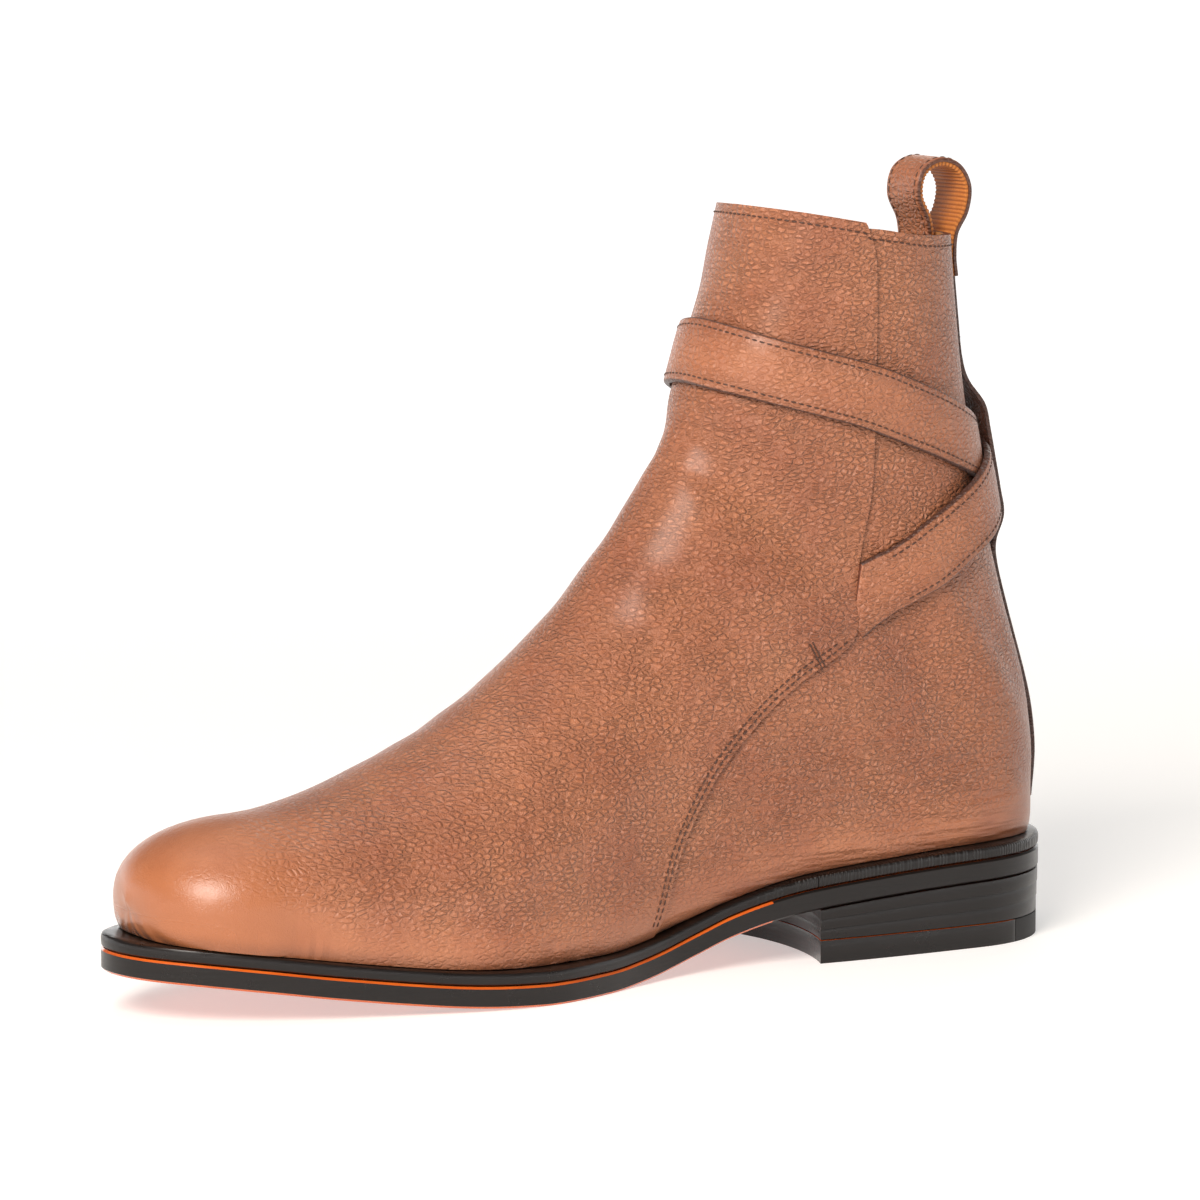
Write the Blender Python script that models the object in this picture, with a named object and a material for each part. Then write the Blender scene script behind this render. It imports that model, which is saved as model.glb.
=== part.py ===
# Jodhpur boot, right foot: toe towards -X, medial side towards -Y, +Z up, standing on z = 0.
# The origin is the middle of the heel's wearing face.
import math

import bmesh
import bpy
from mathutils import Vector
from mathutils.bvhtree import BVHTree

# Driving dimensions, in metres
BOOT_LENGTH = 0.305
BALL_WIDTH = 0.102
BOOT_HEIGHT = 0.221
HEEL_LENGTH = 0.091
HEEL_WIDTH = 0.067
HEEL_SEAT_HEIGHT = 0.0205
TOE_SPRING = 0.0128
OUTSOLE_THICKNESS = 0.0062
WELT_THICKNESS = 0.0038
WELT_EXTENSION = 0.0045
WELT_WIDTH = 0.0125
TOP_PIECE_THICKNESS = 0.0068
HEEL_TAPER = 0.0005
RUBBER_LATERAL = 0.58
RUBBER_MEDIAL = 0.22
BREAST_HOLLOW = 0.007
UPPER_WALL = 0.0022
VAMP_STEP = 0.0010
LASTING_MARGIN = 0.014
INSOLE_THICKNESS = 0.003
STRAP_WIDTH = 0.0185
STRAP_THICKNESS = 0.0022
STRAP_TIP = 0.011
TIP_BLUNTNESS = 0.22
TIP_POWER = 2.4
BACK_STRIP_WIDTH = 0.019
BACK_STRIP_THICKNESS = 0.0016
PULL_LOOP_WIDTH = 0.017
PULL_LOOP_THICKNESS = 0.0026
PULL_LOOP_RISE = 0.022
BUCKLE_BAR = 0.0028
BUCKLE_CORNER = 0.0038
AXIS_ALONG = 0.262
GAP = 0.0003
SKIN_GAP = 0.0005
MIDDLE_OVERLAP = 0.002

HEEL_BACK_X = HEEL_LENGTH / 2


def clear_scene():
    for item in list(bpy.data.objects):
        bpy.data.objects.remove(item, do_unlink=True)


def finish(name, colour, roughness, metallic=0.0):
    material = bpy.data.materials.new(name)
    material.use_nodes = True
    shader = material.node_tree.nodes["Principled BSDF"]
    shader.inputs["Base Color"].default_value = (*colour, 1.0)
    shader.inputs["Roughness"].default_value = roughness
    shader.inputs["Metallic"].default_value = metallic
    return material


def new_object(name, points, faces, material=None):
    mesh = bpy.data.meshes.new(name)
    mesh.from_pydata([tuple(p) for p in points], [], faces)
    shape = bmesh.new()
    shape.from_mesh(mesh)
    bmesh.ops.recalc_face_normals(shape, faces=shape.faces)
    shape.to_mesh(mesh)
    shape.free()
    mesh.shade_smooth()
    mesh.set_sharp_from_angle(angle=math.radians(35))
    item = bpy.data.objects.new(name, mesh)
    bpy.context.scene.collection.objects.link(item)
    if material:
        mesh.materials.append(material)
    return item


def combine(base, other, operation):
    """Cuts, joins or intersects base with other, which is used up."""
    step = base.modifiers.new(operation, "BOOLEAN")
    step.operation = operation
    step.solver = "EXACT"
    step.object = other
    bpy.context.view_layer.update()
    view = base.evaluated_get(bpy.context.evaluated_depsgraph_get())
    mesh = bpy.data.meshes.new_from_object(view)
    base.modifiers.clear()
    old = base.data
    base.data = mesh
    bpy.data.meshes.remove(old)
    bpy.data.objects.remove(other, do_unlink=True)
    return base


# Reading the tables

def spline(stations, values, at):
    """Smooth curve through the values, read at one place."""
    last = len(stations) - 1
    at = min(max(at, stations[0]), stations[-1])
    i = 0
    while i < last - 1 and at > stations[i + 1]:
        i += 1
    span = stations[i + 1] - stations[i]

    def slope(k):
        if k == 0:
            return (values[1] - values[0]) / (stations[1] - stations[0])
        if k == last:
            return (values[last] - values[last - 1]) / (stations[last] - stations[last - 1])
        return (values[k + 1] - values[k - 1]) / (stations[k + 1] - stations[k - 1])

    t = (at - stations[i]) / span
    a = (2 * t**3 - 3 * t**2 + 1) * values[i]
    b = (t**3 - 2 * t**2 + t) * span * slope(i)
    c = (3 * t**2 - 2 * t**3) * values[i + 1]
    d = (t**3 - t**2) * span * slope(i + 1)
    return a + b + c + d


def column(table, index):
    return [row[index] for row in table]


# The sole: a line of its underside and an outline with left and right curve

# along: share of BOOT_LENGTH from the heel back; up: share of HEEL_SEAT_HEIGHT
SEAT_LINE = (
    (0.000, 1.000),
    (0.100, 0.975),
    (0.200, 0.910),
    (0.298, 0.785),
    (0.345, 0.660),
    (0.390, 0.480),
    (0.430, 0.280),
    (0.470, 0.115),
    (0.510, 0.025),
    (0.540, 0.000),
    (0.620, 0.000),
)
# along: share of BOOT_LENGTH; up: share of TOE_SPRING
TOE_LINE = (
    (0.620, 0.000),
    (0.690, 0.085),
    (0.750, 0.235),
    (0.820, 0.470),
    (0.890, 0.720),
    (0.950, 0.900),
    (1.000, 1.000),
)
# along: share of BOOT_LENGTH; medial, lateral: share of BALL_WIDTH from the middle line
SOLE_OUTLINE = (
    (0.000, 0.325, 0.325),
    (0.150, 0.332, 0.332),
    (0.240, 0.326, 0.328),
    (0.300, 0.312, 0.332),
    (0.350, 0.293, 0.366),
    (0.400, 0.283, 0.413),
    (0.450, 0.296, 0.462),
    (0.500, 0.340, 0.497),
    (0.550, 0.402, 0.517),
    (0.600, 0.450, 0.523),
    (0.650, 0.462, 0.514),
    (0.700, 0.444, 0.488),
    (0.760, 0.409, 0.447),
    (0.830, 0.373, 0.400),
    (0.900, 0.345, 0.352),
    (1.000, 0.330, 0.315),
)
TOE_ROUND = 0.190
HEEL_ROUND = 0.118
TOE_POWER = 2.2
HEEL_POWER = 2.3
SOLE_STEPS = 56


def underside(along):
    """Height of the outsole's lower face."""
    share = along / BOOT_LENGTH
    if share <= TOE_LINE[0][0]:
        return HEEL_SEAT_HEIGHT * max(0.0, spline(column(SEAT_LINE, 0), column(SEAT_LINE, 1), share))
    return TOE_SPRING * max(0.0, spline(column(TOE_LINE, 0), column(TOE_LINE, 1), share))


def sole_top(along):
    return underside(along) + OUTSOLE_THICKNESS


def feather(along):
    """Height at which the upper stands on the welt."""
    return sole_top(along) + GAP + WELT_THICKNESS + GAP


def half_width(along, side, inset=0.0):
    """Half width of the sole's outline, side -1 medial and 1 lateral, moved in by inset."""
    length = BOOT_LENGTH - inset
    share = along / BOOT_LENGTH
    value = BALL_WIDTH * spline(column(SOLE_OUTLINE, 0), column(SOLE_OUTLINE, 1 if side < 0 else 2), share) - inset
    toe = BOOT_LENGTH * (1 - TOE_ROUND)
    heel = BOOT_LENGTH * HEEL_ROUND
    if along > toe:
        value *= math.sqrt(max(0.0, 1 - ((along - toe) / (length - toe)) ** TOE_POWER))
    if along < heel:
        value *= math.sqrt(max(0.0, 1 - ((heel - along) / (heel - inset)) ** HEEL_POWER))
    return value


def outline(inset, start, stop, steps):
    """Points (along, across) round the outline, from the medial back end forward and back on the lateral side."""
    first = max(start, inset)
    last = min(stop, BOOT_LENGTH - inset)
    places = [first + (last - first) * (1 - math.cos(math.pi * i / steps)) / 2 for i in range(steps + 1)]
    medial = [(a, -half_width(a, -1, inset)) for a in places]
    lateral = [(a, half_width(a, 1, inset)) for a in places]
    closed_front = abs(medial[-1][1]) < 1e-6
    closed_back = abs(medial[0][1]) < 1e-6
    back = lateral[::-1]
    if closed_front:
        back = back[1:]
    if closed_back:
        back = back[:-1]
    return medial + back


def place(along, across, up):
    return Vector((HEEL_BACK_X - along, across, up))


def layer(name, ring, low, high, material=None, low_ring=None):
    """Solid between two heights, each a function of the place along the boot, inside a ring of points."""
    count = len(ring)
    points = [place(a, c, low(a)) for a, c in low_ring or ring] + [place(a, c, high(a)) for a, c in ring]
    faces = [(i, (i + 1) % count, count + (i + 1) % count, count + i) for i in range(count)]
    shape = new_object(name, points, faces, material)
    cover(shape, count)
    return shape


def cover(shape, count):
    """Closes the two open rings of a layer with strips across it."""
    mesh = bmesh.new()
    mesh.from_mesh(shape.data)
    mesh.verts.ensure_lookup_table()
    for base in (0, count):
        i = 0
        j = count - 1
        while i + 1 < j:
            corners = [mesh.verts[base + k] for k in (i, i + 1, j - 1, j)]
            if i + 1 == j - 1:
                corners = [mesh.verts[base + k] for k in (i, i + 1, j)]
            mesh.faces.new(corners)
            i += 1
            j -= 1
    bmesh.ops.recalc_face_normals(mesh, faces=mesh.faces)
    mesh.to_mesh(shape.data)
    mesh.free()
    shape.data.shade_smooth()
    shape.data.set_sharp_from_angle(angle=math.radians(35))


# The last: a fan of closed sections from the toe round the instep to the collar

# front_along, back_along: share of BOOT_LENGTH; front_up: share of BOOT_HEIGHT from the floor
# back_up: share of BOOT_HEIGHT above the feather line; medial, lateral: share of BALL_WIDTH
# belly: where the section is widest, from its back end; squareness of the back end and of the crown
LAST = (
    ("front_along", "front_up", "back_along", "back_up", "medial", "lateral", "belly", "square", "crown"),
    (0.8590, 0.2400, 0.8690, -0.028, 0.316, 0.330, 0.42, 5.0, 2.05),
    (0.8200, 0.2450, 0.8330, -0.028, 0.338, 0.367, 0.40, 5.0, 2.05),
    (0.7620, 0.2640, 0.7800, -0.028, 0.372, 0.416, 0.38, 5.2, 2.00),
    (0.7020, 0.2970, 0.7200, -0.028, 0.406, 0.456, 0.35, 5.4, 1.92),
    (0.6320, 0.3460, 0.6560, -0.028, 0.424, 0.478, 0.32, 5.2, 1.84),
    (0.5520, 0.4280, 0.5640, -0.028, 0.384, 0.468, 0.31, 4.6, 1.78),
    (0.4920, 0.5170, 0.4590, -0.022, 0.336, 0.420, 0.33, 3.4, 1.82),
    (0.4570, 0.5770, 0.3440, -0.024, 0.322, 0.372, 0.36, 4.4, 1.92),
    (0.4320, 0.6240, 0.2100, -0.028, 0.322, 0.346, 0.39, 5.4, 2.00),
    (0.4200, 0.6500, 0.1150, -0.028, 0.322, 0.338, 0.42, 5.2, 2.05),
    (0.4110, 0.6720, 0.0300, -0.022, 0.320, 0.334, 0.42, 3.4, 2.06),
    (0.4055, 0.6880, 0.0115, 0.050, 0.319, 0.332, 0.42, 2.6, 2.08),
    (0.3980, 0.7080, 0.0100, 0.160, 0.316, 0.330, 0.43, 2.3, 2.10),
    (0.3890, 0.7370, 0.0420, 0.315, 0.311, 0.326, 0.45, 2.2, 2.15),
    (0.3780, 0.7750, 0.0720, 0.475, 0.308, 0.322, 0.47, 2.2, 2.20),
    (0.3640, 0.8320, 0.0920, 0.625, 0.308, 0.320, 0.48, 2.2, 2.20),
    (0.3465, 0.9050, 0.1040, 0.760, 0.311, 0.322, 0.50, 2.2, 2.20),
    (0.3260, 1.0000, 0.1120, 0.865, 0.315, 0.326, 0.50, 2.2, 2.20),
    (0.3120, 1.0800, 0.1180, 0.950, 0.317, 0.328, 0.50, 2.2, 2.20),
)
ROUND_COUNT = 32
ROWS_PER_SECTION = 2
TOE_ROWS = 6
# The toe's rounding: its tip as shares of BOOT_LENGTH and BOOT_HEIGHT, and how fast each line runs to it
TOE_TIP = 0.9790
TOE_TIP_HEIGHT = 0.1500
TOE_TIP_SETBACK = 0.004
TOE_TURN_SPARE = 0.6
TOE_CREST_POWER = 0.9
TOE_WIDTH_POWER = 0.88
TOE_BOTTOM_POWER = 0.5
TOE_TIP_SQUARE = 2.2


def section(row):
    """Closed section of the last from one row of the table."""
    front_along, front_up, back_along, back_up, medial, lateral, belly, square, crown = row
    front = place(front_along * BOOT_LENGTH, 0.0, front_up * BOOT_HEIGHT)
    along = back_along * BOOT_LENGTH
    back = place(along, 0.0, feather(along) + back_up * BOOT_HEIGHT)
    points = []
    for i in range(ROUND_COUNT):
        turn = 2 * math.pi * i / ROUND_COUNT
        cosine = math.cos(turn)
        sine = math.sin(turn)
        power = 2 / square if cosine > 0 else 2 / crown
        width = BALL_WIDTH * (lateral if sine > 0 else medial) * abs(sine) ** power
        if cosine > 0:
            share = belly * (1 - cosine**power)
        else:
            share = belly + (1 - belly) * abs(cosine) ** power
        point = back.lerp(front, share)
        points.append(point + Vector((0.0, math.copysign(width, sine), 0.0)))
    return points


def last_rows():
    """All sections: a rounded toe end, then the table read twice as finely as it is written."""
    table = LAST[1:]
    index = list(range(len(table)))
    rows = []
    first = table[0]
    start = first[0]
    for k in range(TOE_ROWS, 0, -1):
        angle = math.pi / 2 * k / (TOE_ROWS + TOE_TURN_SPARE)
        reach = math.sin(angle)
        shrink = math.cos(angle)
        row = list(first)
        row[0] = start + (TOE_TIP - start) * reach
        row[1] = TOE_TIP_HEIGHT + (first[1] - TOE_TIP_HEIGHT) * shrink**TOE_CREST_POWER
        row[2] = first[2] + (TOE_TIP - TOE_TIP_SETBACK - first[2]) * reach
        low = feather(row[2] * BOOT_LENGTH) / BOOT_HEIGHT
        drop = shrink**TOE_BOTTOM_POWER
        row[3] = (TOE_TIP_HEIGHT - low) * (1 - drop) + first[3] * drop
        row[4] = first[4] * shrink**TOE_WIDTH_POWER
        row[5] = first[5] * shrink**TOE_WIDTH_POWER
        row[7] = TOE_TIP_SQUARE + (first[7] - TOE_TIP_SQUARE) * shrink
        rows.append(row)
    steps = (len(table) - 1) * ROWS_PER_SECTION
    for k in range(steps + 1):
        at = k / ROWS_PER_SECTION
        rows.append([spline(index, column(table, c), at) for c in range(len(first))])
    return rows


def last_form(name, offset=0.0):
    """The last's whole surface as a closed solid, moved out by offset, with a flat top above the collar."""
    rings = [section(row) for row in last_rows()]
    tip = place(TOE_TIP * BOOT_LENGTH, 0.0, TOE_TIP_HEIGHT * BOOT_HEIGHT)
    points = [tip] + [p for ring in rings for p in ring]
    count = ROUND_COUNT
    faces = [(0, 1 + i, 1 + (i + 1) % count) for i in range(count)]
    for r in range(len(rings) - 1):
        low = 1 + r * count
        high = low + count
        faces += [(low + i, high + i, high + (i + 1) % count, low + (i + 1) % count) for i in range(count)]
    top = 1 + (len(rings) - 1) * count
    faces.append(tuple(range(top, top + count)))
    shape = new_object(name, points, faces)
    if offset:
        normals = [v.normal.copy() for v in shape.data.vertices]
        ring_start = len(points) - count
        for i, vertex in enumerate(shape.data.vertices):
            normal = normals[i]
            if i >= ring_start:
                normal = normals[i - count]
            vertex.co += normal * offset
        lift = max(0.0, -offset)
        for vertex in list(shape.data.vertices)[ring_start:]:
            vertex.co.z += lift
    return shape


def below(name, height):
    """Block under a height that follows the boot, as wide as the boot and more."""
    steps = 64
    reach = BALL_WIDTH
    depth = BALL_WIDTH
    past = 0.06 * BOOT_LENGTH
    profile = [-past + (BOOT_LENGTH + 2 * past) * i / steps for i in range(steps + 1)]
    points = []
    for a in profile:
        z = height(min(max(a, 0.0), BOOT_LENGTH))
        points += [place(a, -reach, -depth), place(a, reach, -depth), place(a, reach, z), place(a, -reach, z)]
    faces = []
    for i in range(steps):
        b = 4 * i
        faces += [(b + k, b + (k + 1) % 4, b + 4 + (k + 1) % 4, b + 4 + k) for k in range(4)]
    faces += [(0, 1, 2, 3), (4 * steps, 4 * steps + 1, 4 * steps + 2, 4 * steps + 3)]
    return new_object(name, points, faces)


def side_prism(name, polygon, side):
    """Prism from just past the middle plane outwards, on one side, over a polygon of (along, up) shares."""
    reach = BALL_WIDTH * side
    inner = -MIDDLE_OVERLAP * side
    flat = [(a * BOOT_LENGTH, u * BOOT_HEIGHT) for a, u in polygon]
    count = len(flat)
    points = [place(a, inner, u) for a, u in flat] + [place(a, reach, u) for a, u in flat]
    faces = [(i, (i + 1) % count, count + (i + 1) % count, count + i) for i in range(count)]
    faces += [tuple(range(count)), tuple(range(count, 2 * count))]
    return new_object(name, points, faces)


def both_sides(name, medial, lateral):
    return combine(side_prism(name, medial, -1), side_prism("other_side", lateral, 1), "UNION")


# Vamp: rear edge from the welt up its seam to the corner over the strap, then up the flap to the collar
# along: share of BOOT_LENGTH; up: share of BOOT_HEIGHT
VAMP_MEDIAL = (
    (0.480, 0.000),
    (0.472, 0.090),
    (0.460, 0.160),
    (0.440, 0.215),
    (0.415, 0.265),
    (0.385, 0.310),
    (0.352, 0.350),
    (0.318, 0.383),
    (0.262, 0.430),
    (0.256, 0.490),
    (0.248, 0.570),
    (0.240, 0.650),
    (0.238, 0.780),
    (0.238, 0.920),
    (0.248, 0.975),
)
VAMP_LATERAL = (
    (0.600, 0.000),
    (0.592, 0.080),
    (0.580, 0.150),
    (0.560, 0.205),
    (0.520, 0.250),
    (0.460, 0.290),
    (0.395, 0.330),
    (0.330, 0.380),
    (0.308, 0.420),
    (0.302, 0.500),
    (0.298, 0.580),
    (0.285, 0.660),
    (0.262, 0.760),
    (0.246, 0.860),
    (0.244, 0.930),
    (0.254, 0.960),
)
# The collar's line: front, then towards the back, each as along and up
VAMP_TOP_MEDIAL = ((0.420, 1.010), (0.345, 1.003), (0.300, 0.993), (0.250, 0.980))
VAMP_TOP_LATERAL = ((0.420, 1.010), (0.345, 1.003), (0.300, 0.992), (0.258, 0.968))
QUARTER_MEDIAL = ((0.420, 0.965), (0.300, 0.970), (0.240, 0.971), (0.170, 0.958), (0.000, 0.948))
QUARTER_LATERAL = ((0.420, 0.922), (0.300, 0.924), (0.220, 0.930), (0.150, 0.940), (0.000, 0.948))

SKY = 1.35
FAR_FRONT = 1.10
FAR_BACK = -0.10


def vamp_region(rear, top):
    """Side view of the vamp: up its rear edge, forward along the collar, and far round in front."""
    return list(rear) + [p for p in reversed(top) if p[0] > rear[-1][0]] + [(FAR_FRONT, top[0][1]), (FAR_FRONT, 0.0)]


def above_region(top):
    line = list(top)
    return [(FAR_FRONT, SKY), (FAR_FRONT, line[0][1])] + line + [(FAR_BACK, line[-1][1]), (FAR_BACK, SKY)]


def make_upper(material):
    outer = last_form("upper", 0.0)
    above = both_sides("above", above_region(QUARTER_MEDIAL), above_region(QUARTER_LATERAL))
    outer = combine(outer, above, "DIFFERENCE")
    region = both_sides(
        "region", vamp_region(VAMP_MEDIAL, VAMP_TOP_MEDIAL), vamp_region(VAMP_LATERAL, VAMP_TOP_LATERAL)
    )
    vamp = combine(last_form("vamp", VAMP_STEP), region, "INTERSECT")
    outer = combine(outer, vamp, "UNION")
    outer = combine(outer, below("ground", feather), "DIFFERENCE")
    cavity = last_form("cavity", -UPPER_WALL)
    cavity = combine(cavity, below("floor", lambda a: feather(a) + UPPER_WALL), "DIFFERENCE")
    outer = combine(outer, cavity, "DIFFERENCE")
    inset = WELT_EXTENSION + LASTING_MARGIN
    ring = outline(inset, 0.0, BOOT_LENGTH, 24)
    over = 4 * UPPER_WALL
    opening = layer("opening", ring, lambda a: feather(a) - over, lambda a: feather(a) + over)
    outer = combine(outer, opening, "DIFFERENCE")
    outer.name = "upper"
    outer.data.materials.clear()
    outer.data.materials.append(material)
    return outer


def make_insole(material):
    low = lambda a: feather(a) + UPPER_WALL + 2 * GAP
    high = lambda a: feather(a) + UPPER_WALL + 2 * GAP + INSOLE_THICKNESS
    insole = layer("insole", outline(WELT_EXTENSION, 0.0, BOOT_LENGTH, 40), low, high)
    insole = combine(insole, last_form("inside", -UPPER_WALL - 2 * GAP), "INTERSECT")
    insole.name = "insole"
    insole.data.materials.clear()
    insole.data.materials.append(material)
    return insole


def cross_block(name, start, stop):
    """Block across the whole boot between two places along it."""
    reach = BALL_WIDTH
    corners = ((start, -reach), (stop, -reach), (stop, reach), (start, reach))
    points = [place(a, c, -reach) for a, c in corners] + [place(a, c, reach) for a, c in corners]
    faces = [(0, 1, 2, 3), (4, 5, 6, 7)] + [(i, (i + 1) % 4, 4 + (i + 1) % 4, 4 + i) for i in range(4)]
    return new_object(name, points, faces)


def coloured(shape, name, material):
    shape.name = name
    shape.data.name = name
    shape.data.materials.clear()
    shape.data.materials.append(material)
    shape.data.shade_smooth()
    shape.data.set_sharp_from_angle(angle=math.radians(35))
    return shape


def strip_ring(name):
    """The strip between sole and upper all round the boot."""
    low = lambda a: sole_top(a) + GAP
    high = lambda a: sole_top(a) + GAP + WELT_THICKNESS
    over = 2 * WELT_THICKNESS
    ring = layer(name, outline(0.0, 0.0, BOOT_LENGTH, SOLE_STEPS), low, high)
    inner = outline(WELT_WIDTH, 0.0, BOOT_LENGTH, SOLE_STEPS // 2)
    hole = layer("hole", inner, lambda a: low(a) - over, lambda a: high(a) + over)
    return combine(ring, hole, "DIFFERENCE")


def make_welt_and_rand(material):
    welt = combine(strip_ring("welt"), cross_block("behind", -0.05, HEEL_LENGTH + GAP), "DIFFERENCE")
    coloured(welt, "welt", material)
    rand = combine(strip_ring("heel_rand"), cross_block("ahead", HEEL_LENGTH, 0.5), "DIFFERENCE")
    coloured(rand, "heel_rand", material)


def heel_layer(name, low, high, low_inset, high_inset):
    """Layer of the heel with its hollow breast."""
    steps = 18
    shape = layer(
        name,
        outline(high_inset, 0.0, HEEL_LENGTH, steps),
        low,
        high,
        low_ring=outline(low_inset, 0.0, HEEL_LENGTH, steps),
    )
    half = HEEL_WIDTH / 2
    radius = (half**2 + BREAST_HOLLOW**2) / (2 * BREAST_HOLLOW)
    middle = HEEL_LENGTH - BREAST_HOLLOW + radius
    count = 96
    reach = BALL_WIDTH
    round_points = [(middle + radius * math.cos(2 * math.pi * i / count), radius * math.sin(2 * math.pi * i / count))
                    for i in range(count)]
    points = [place(a, c, -reach) for a, c in round_points] + [place(a, c, reach) for a, c in round_points]
    faces = [(i, (i + 1) % count, count + (i + 1) % count, count + i) for i in range(count)]
    faces += [tuple(range(count)), tuple(range(count, 2 * count))]
    return combine(shape, new_object("breast", points, faces), "DIFFERENCE")


def rubber_corner(name, grow):
    """Prism over the rear lateral corner of the heel, moved by grow across its straight front edge."""
    lateral = HEEL_LENGTH * RUBBER_LATERAL
    medial = HEEL_LENGTH * RUBBER_MEDIAL
    half = HEEL_WIDTH / 2
    slope = (lateral - medial) / (2 * half)
    reach = BALL_WIDTH
    shift = grow * math.sqrt(1 + slope**2)
    front = [(medial + shift + slope * (c + half), c) for c in (-reach, reach)]
    corners = [front[0], front[1], (-reach, reach), (-reach, -reach)]
    points = [place(a, c, -reach) for a, c in corners] + [place(a, c, reach) for a, c in corners]
    faces = [(0, 1, 2, 3), (4, 5, 6, 7)] + [(i, (i + 1) % 4, 4 + (i + 1) % 4, 4 + i) for i in range(4)]
    return new_object(name, points, faces)


def make_heel(leather, black, rubber):
    stack = heel_layer(
        "heel_stack",
        lambda a: TOP_PIECE_THICKNESS + GAP,
        lambda a: underside(a) - GAP,
        HEEL_TAPER,
        0.0,
    )
    coloured(stack, "heel_stack", black)
    low = lambda a: 0.0
    high = lambda a: TOP_PIECE_THICKNESS
    top_piece = heel_layer("heel_top_piece", low, high, HEEL_TAPER, HEEL_TAPER)
    top_piece = combine(top_piece, rubber_corner("corner", GAP), "DIFFERENCE")
    coloured(top_piece, "heel_top_piece", leather)
    corner = heel_layer("heel_rubber", low, high, HEEL_TAPER, HEEL_TAPER)
    corner = combine(corner, rubber_corner("corner", 0.0), "INTERSECT")
    coloured(corner, "heel_rubber", rubber)


# Straps, back strip and pull loop lie on the upper's own skin

class Skin:
    """The last's outer surface, found by turn round an upright axis in the ankle and by height."""

    def __init__(self):
        form = last_form("skin", 0.0)
        mesh = bmesh.new()
        mesh.from_mesh(form.data)
        self.tree = BVHTree.FromBMesh(mesh)
        mesh.free()
        bpy.data.objects.remove(form, do_unlink=True)
        self.axis = AXIS_ALONG * BOOT_LENGTH

    def at(self, turn, up):
        """Point on the skin; turn 0 is the front, 90 the lateral side, 180 the back."""
        angle = math.radians(turn)
        out = Vector((-math.cos(angle), math.sin(angle), 0.0))
        centre = place(self.axis, 0.0, up)
        hit = self.tree.ray_cast(centre + out * BOOT_LENGTH, -out)[0]
        return hit

    def lifted(self, turn, up, lift):
        """Point raised off the skin along its normal."""
        step = 2.0
        rise = 0.002
        point = self.at(turn, up)
        sideways = self.at(turn + step, up) - self.at(turn - step, up)
        upwards = self.at(turn, up + rise) - self.at(turn, up - rise)
        normal = sideways.cross(upwards).normalized()
        angle = math.radians(turn)
        if normal.dot(Vector((-math.cos(angle), math.sin(angle), 0.0))) < 0:
            normal.negate()
        return point + normal * lift


def ribbon(name, skin, path, width, steps, across, material, tip=0.0):
    """Strap along a path of rows (turn, up, lift, thickness), bent to the skin along and across.

    tip is the length over which the last end narrows to a round point."""
    stations = list(range(len(path)))
    rows = []
    for k in range(steps + 1):
        at = (len(path) - 1) * k / steps
        rows.append([spline(stations, column(path, c), at) for c in range(4)])
    centres = [skin.at(row[0], row[1]) for row in rows]
    lengths = [0.0]
    for k in range(steps):
        lengths.append(lengths[-1] + (centres[k + 1] - centres[k]).length)
    low = []
    high = []
    for k, (turn, up, lift, thickness) in enumerate(rows):
        before = rows[max(k - 1, 0)]
        after = rows[min(k + 1, steps)]
        probe = 1.0
        radius = (skin.at(turn + probe, up) - skin.at(turn - probe, up)).length / (2 * math.radians(probe))
        forward_turn = math.radians(after[0] - before[0]) * radius
        forward_up = after[1] - before[1]
        size = math.hypot(forward_turn, forward_up)
        side_turn = -forward_up / size
        side_up = forward_turn / size
        reach = width / 2
        left = lengths[-1] - lengths[k]
        if tip and left < tip:
            reach *= max(TIP_BLUNTNESS, math.sqrt(max(0.0, 1 - (1 - left / tip) ** TIP_POWER)))
        for i in range(across + 1):
            w = reach * (2 * i / across - 1)
            side = math.degrees(side_turn * w / radius)
            low.append(skin.lifted(turn + side, up + side_up * w, lift))
            high.append(skin.lifted(turn + side, up + side_up * w, lift + thickness))
    return plate(name, low, high, steps, across, material)


def plate(name, low, high, steps, across, material):
    """Closed solid between two grids of points."""
    row = across + 1
    count = len(low)
    faces = []
    for k in range(steps):
        for i in range(across):
            a = k * row + i
            quad = (a, a + 1, a + row + 1, a + row)
            faces.append(quad)
            faces.append(tuple(count + v for v in reversed(quad)))
    for k in range(steps):
        for a in (k * row, k * row + across):
            faces.append((a, a + row, count + a + row, count + a))
    for i in range(across):
        for a in (i, steps * row + i):
            faces.append((a, a + 1, count + a + 1, count + a))
    return new_object(name, low + high, faces, material)


def lengths_of(table):
    """Rows of turn, height, lift and thickness from rows of turn, share, number of straps under and step, thickness."""
    rows = []
    for turn, up, straps_below, steps_below, thickness in table:
        lift = SKIN_GAP + straps_below * (STRAP_THICKNESS + GAP) + steps_below * VAMP_STEP
        rows.append((turn, up * BOOT_HEIGHT, lift, thickness * STRAP_THICKNESS))
    return rows


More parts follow.
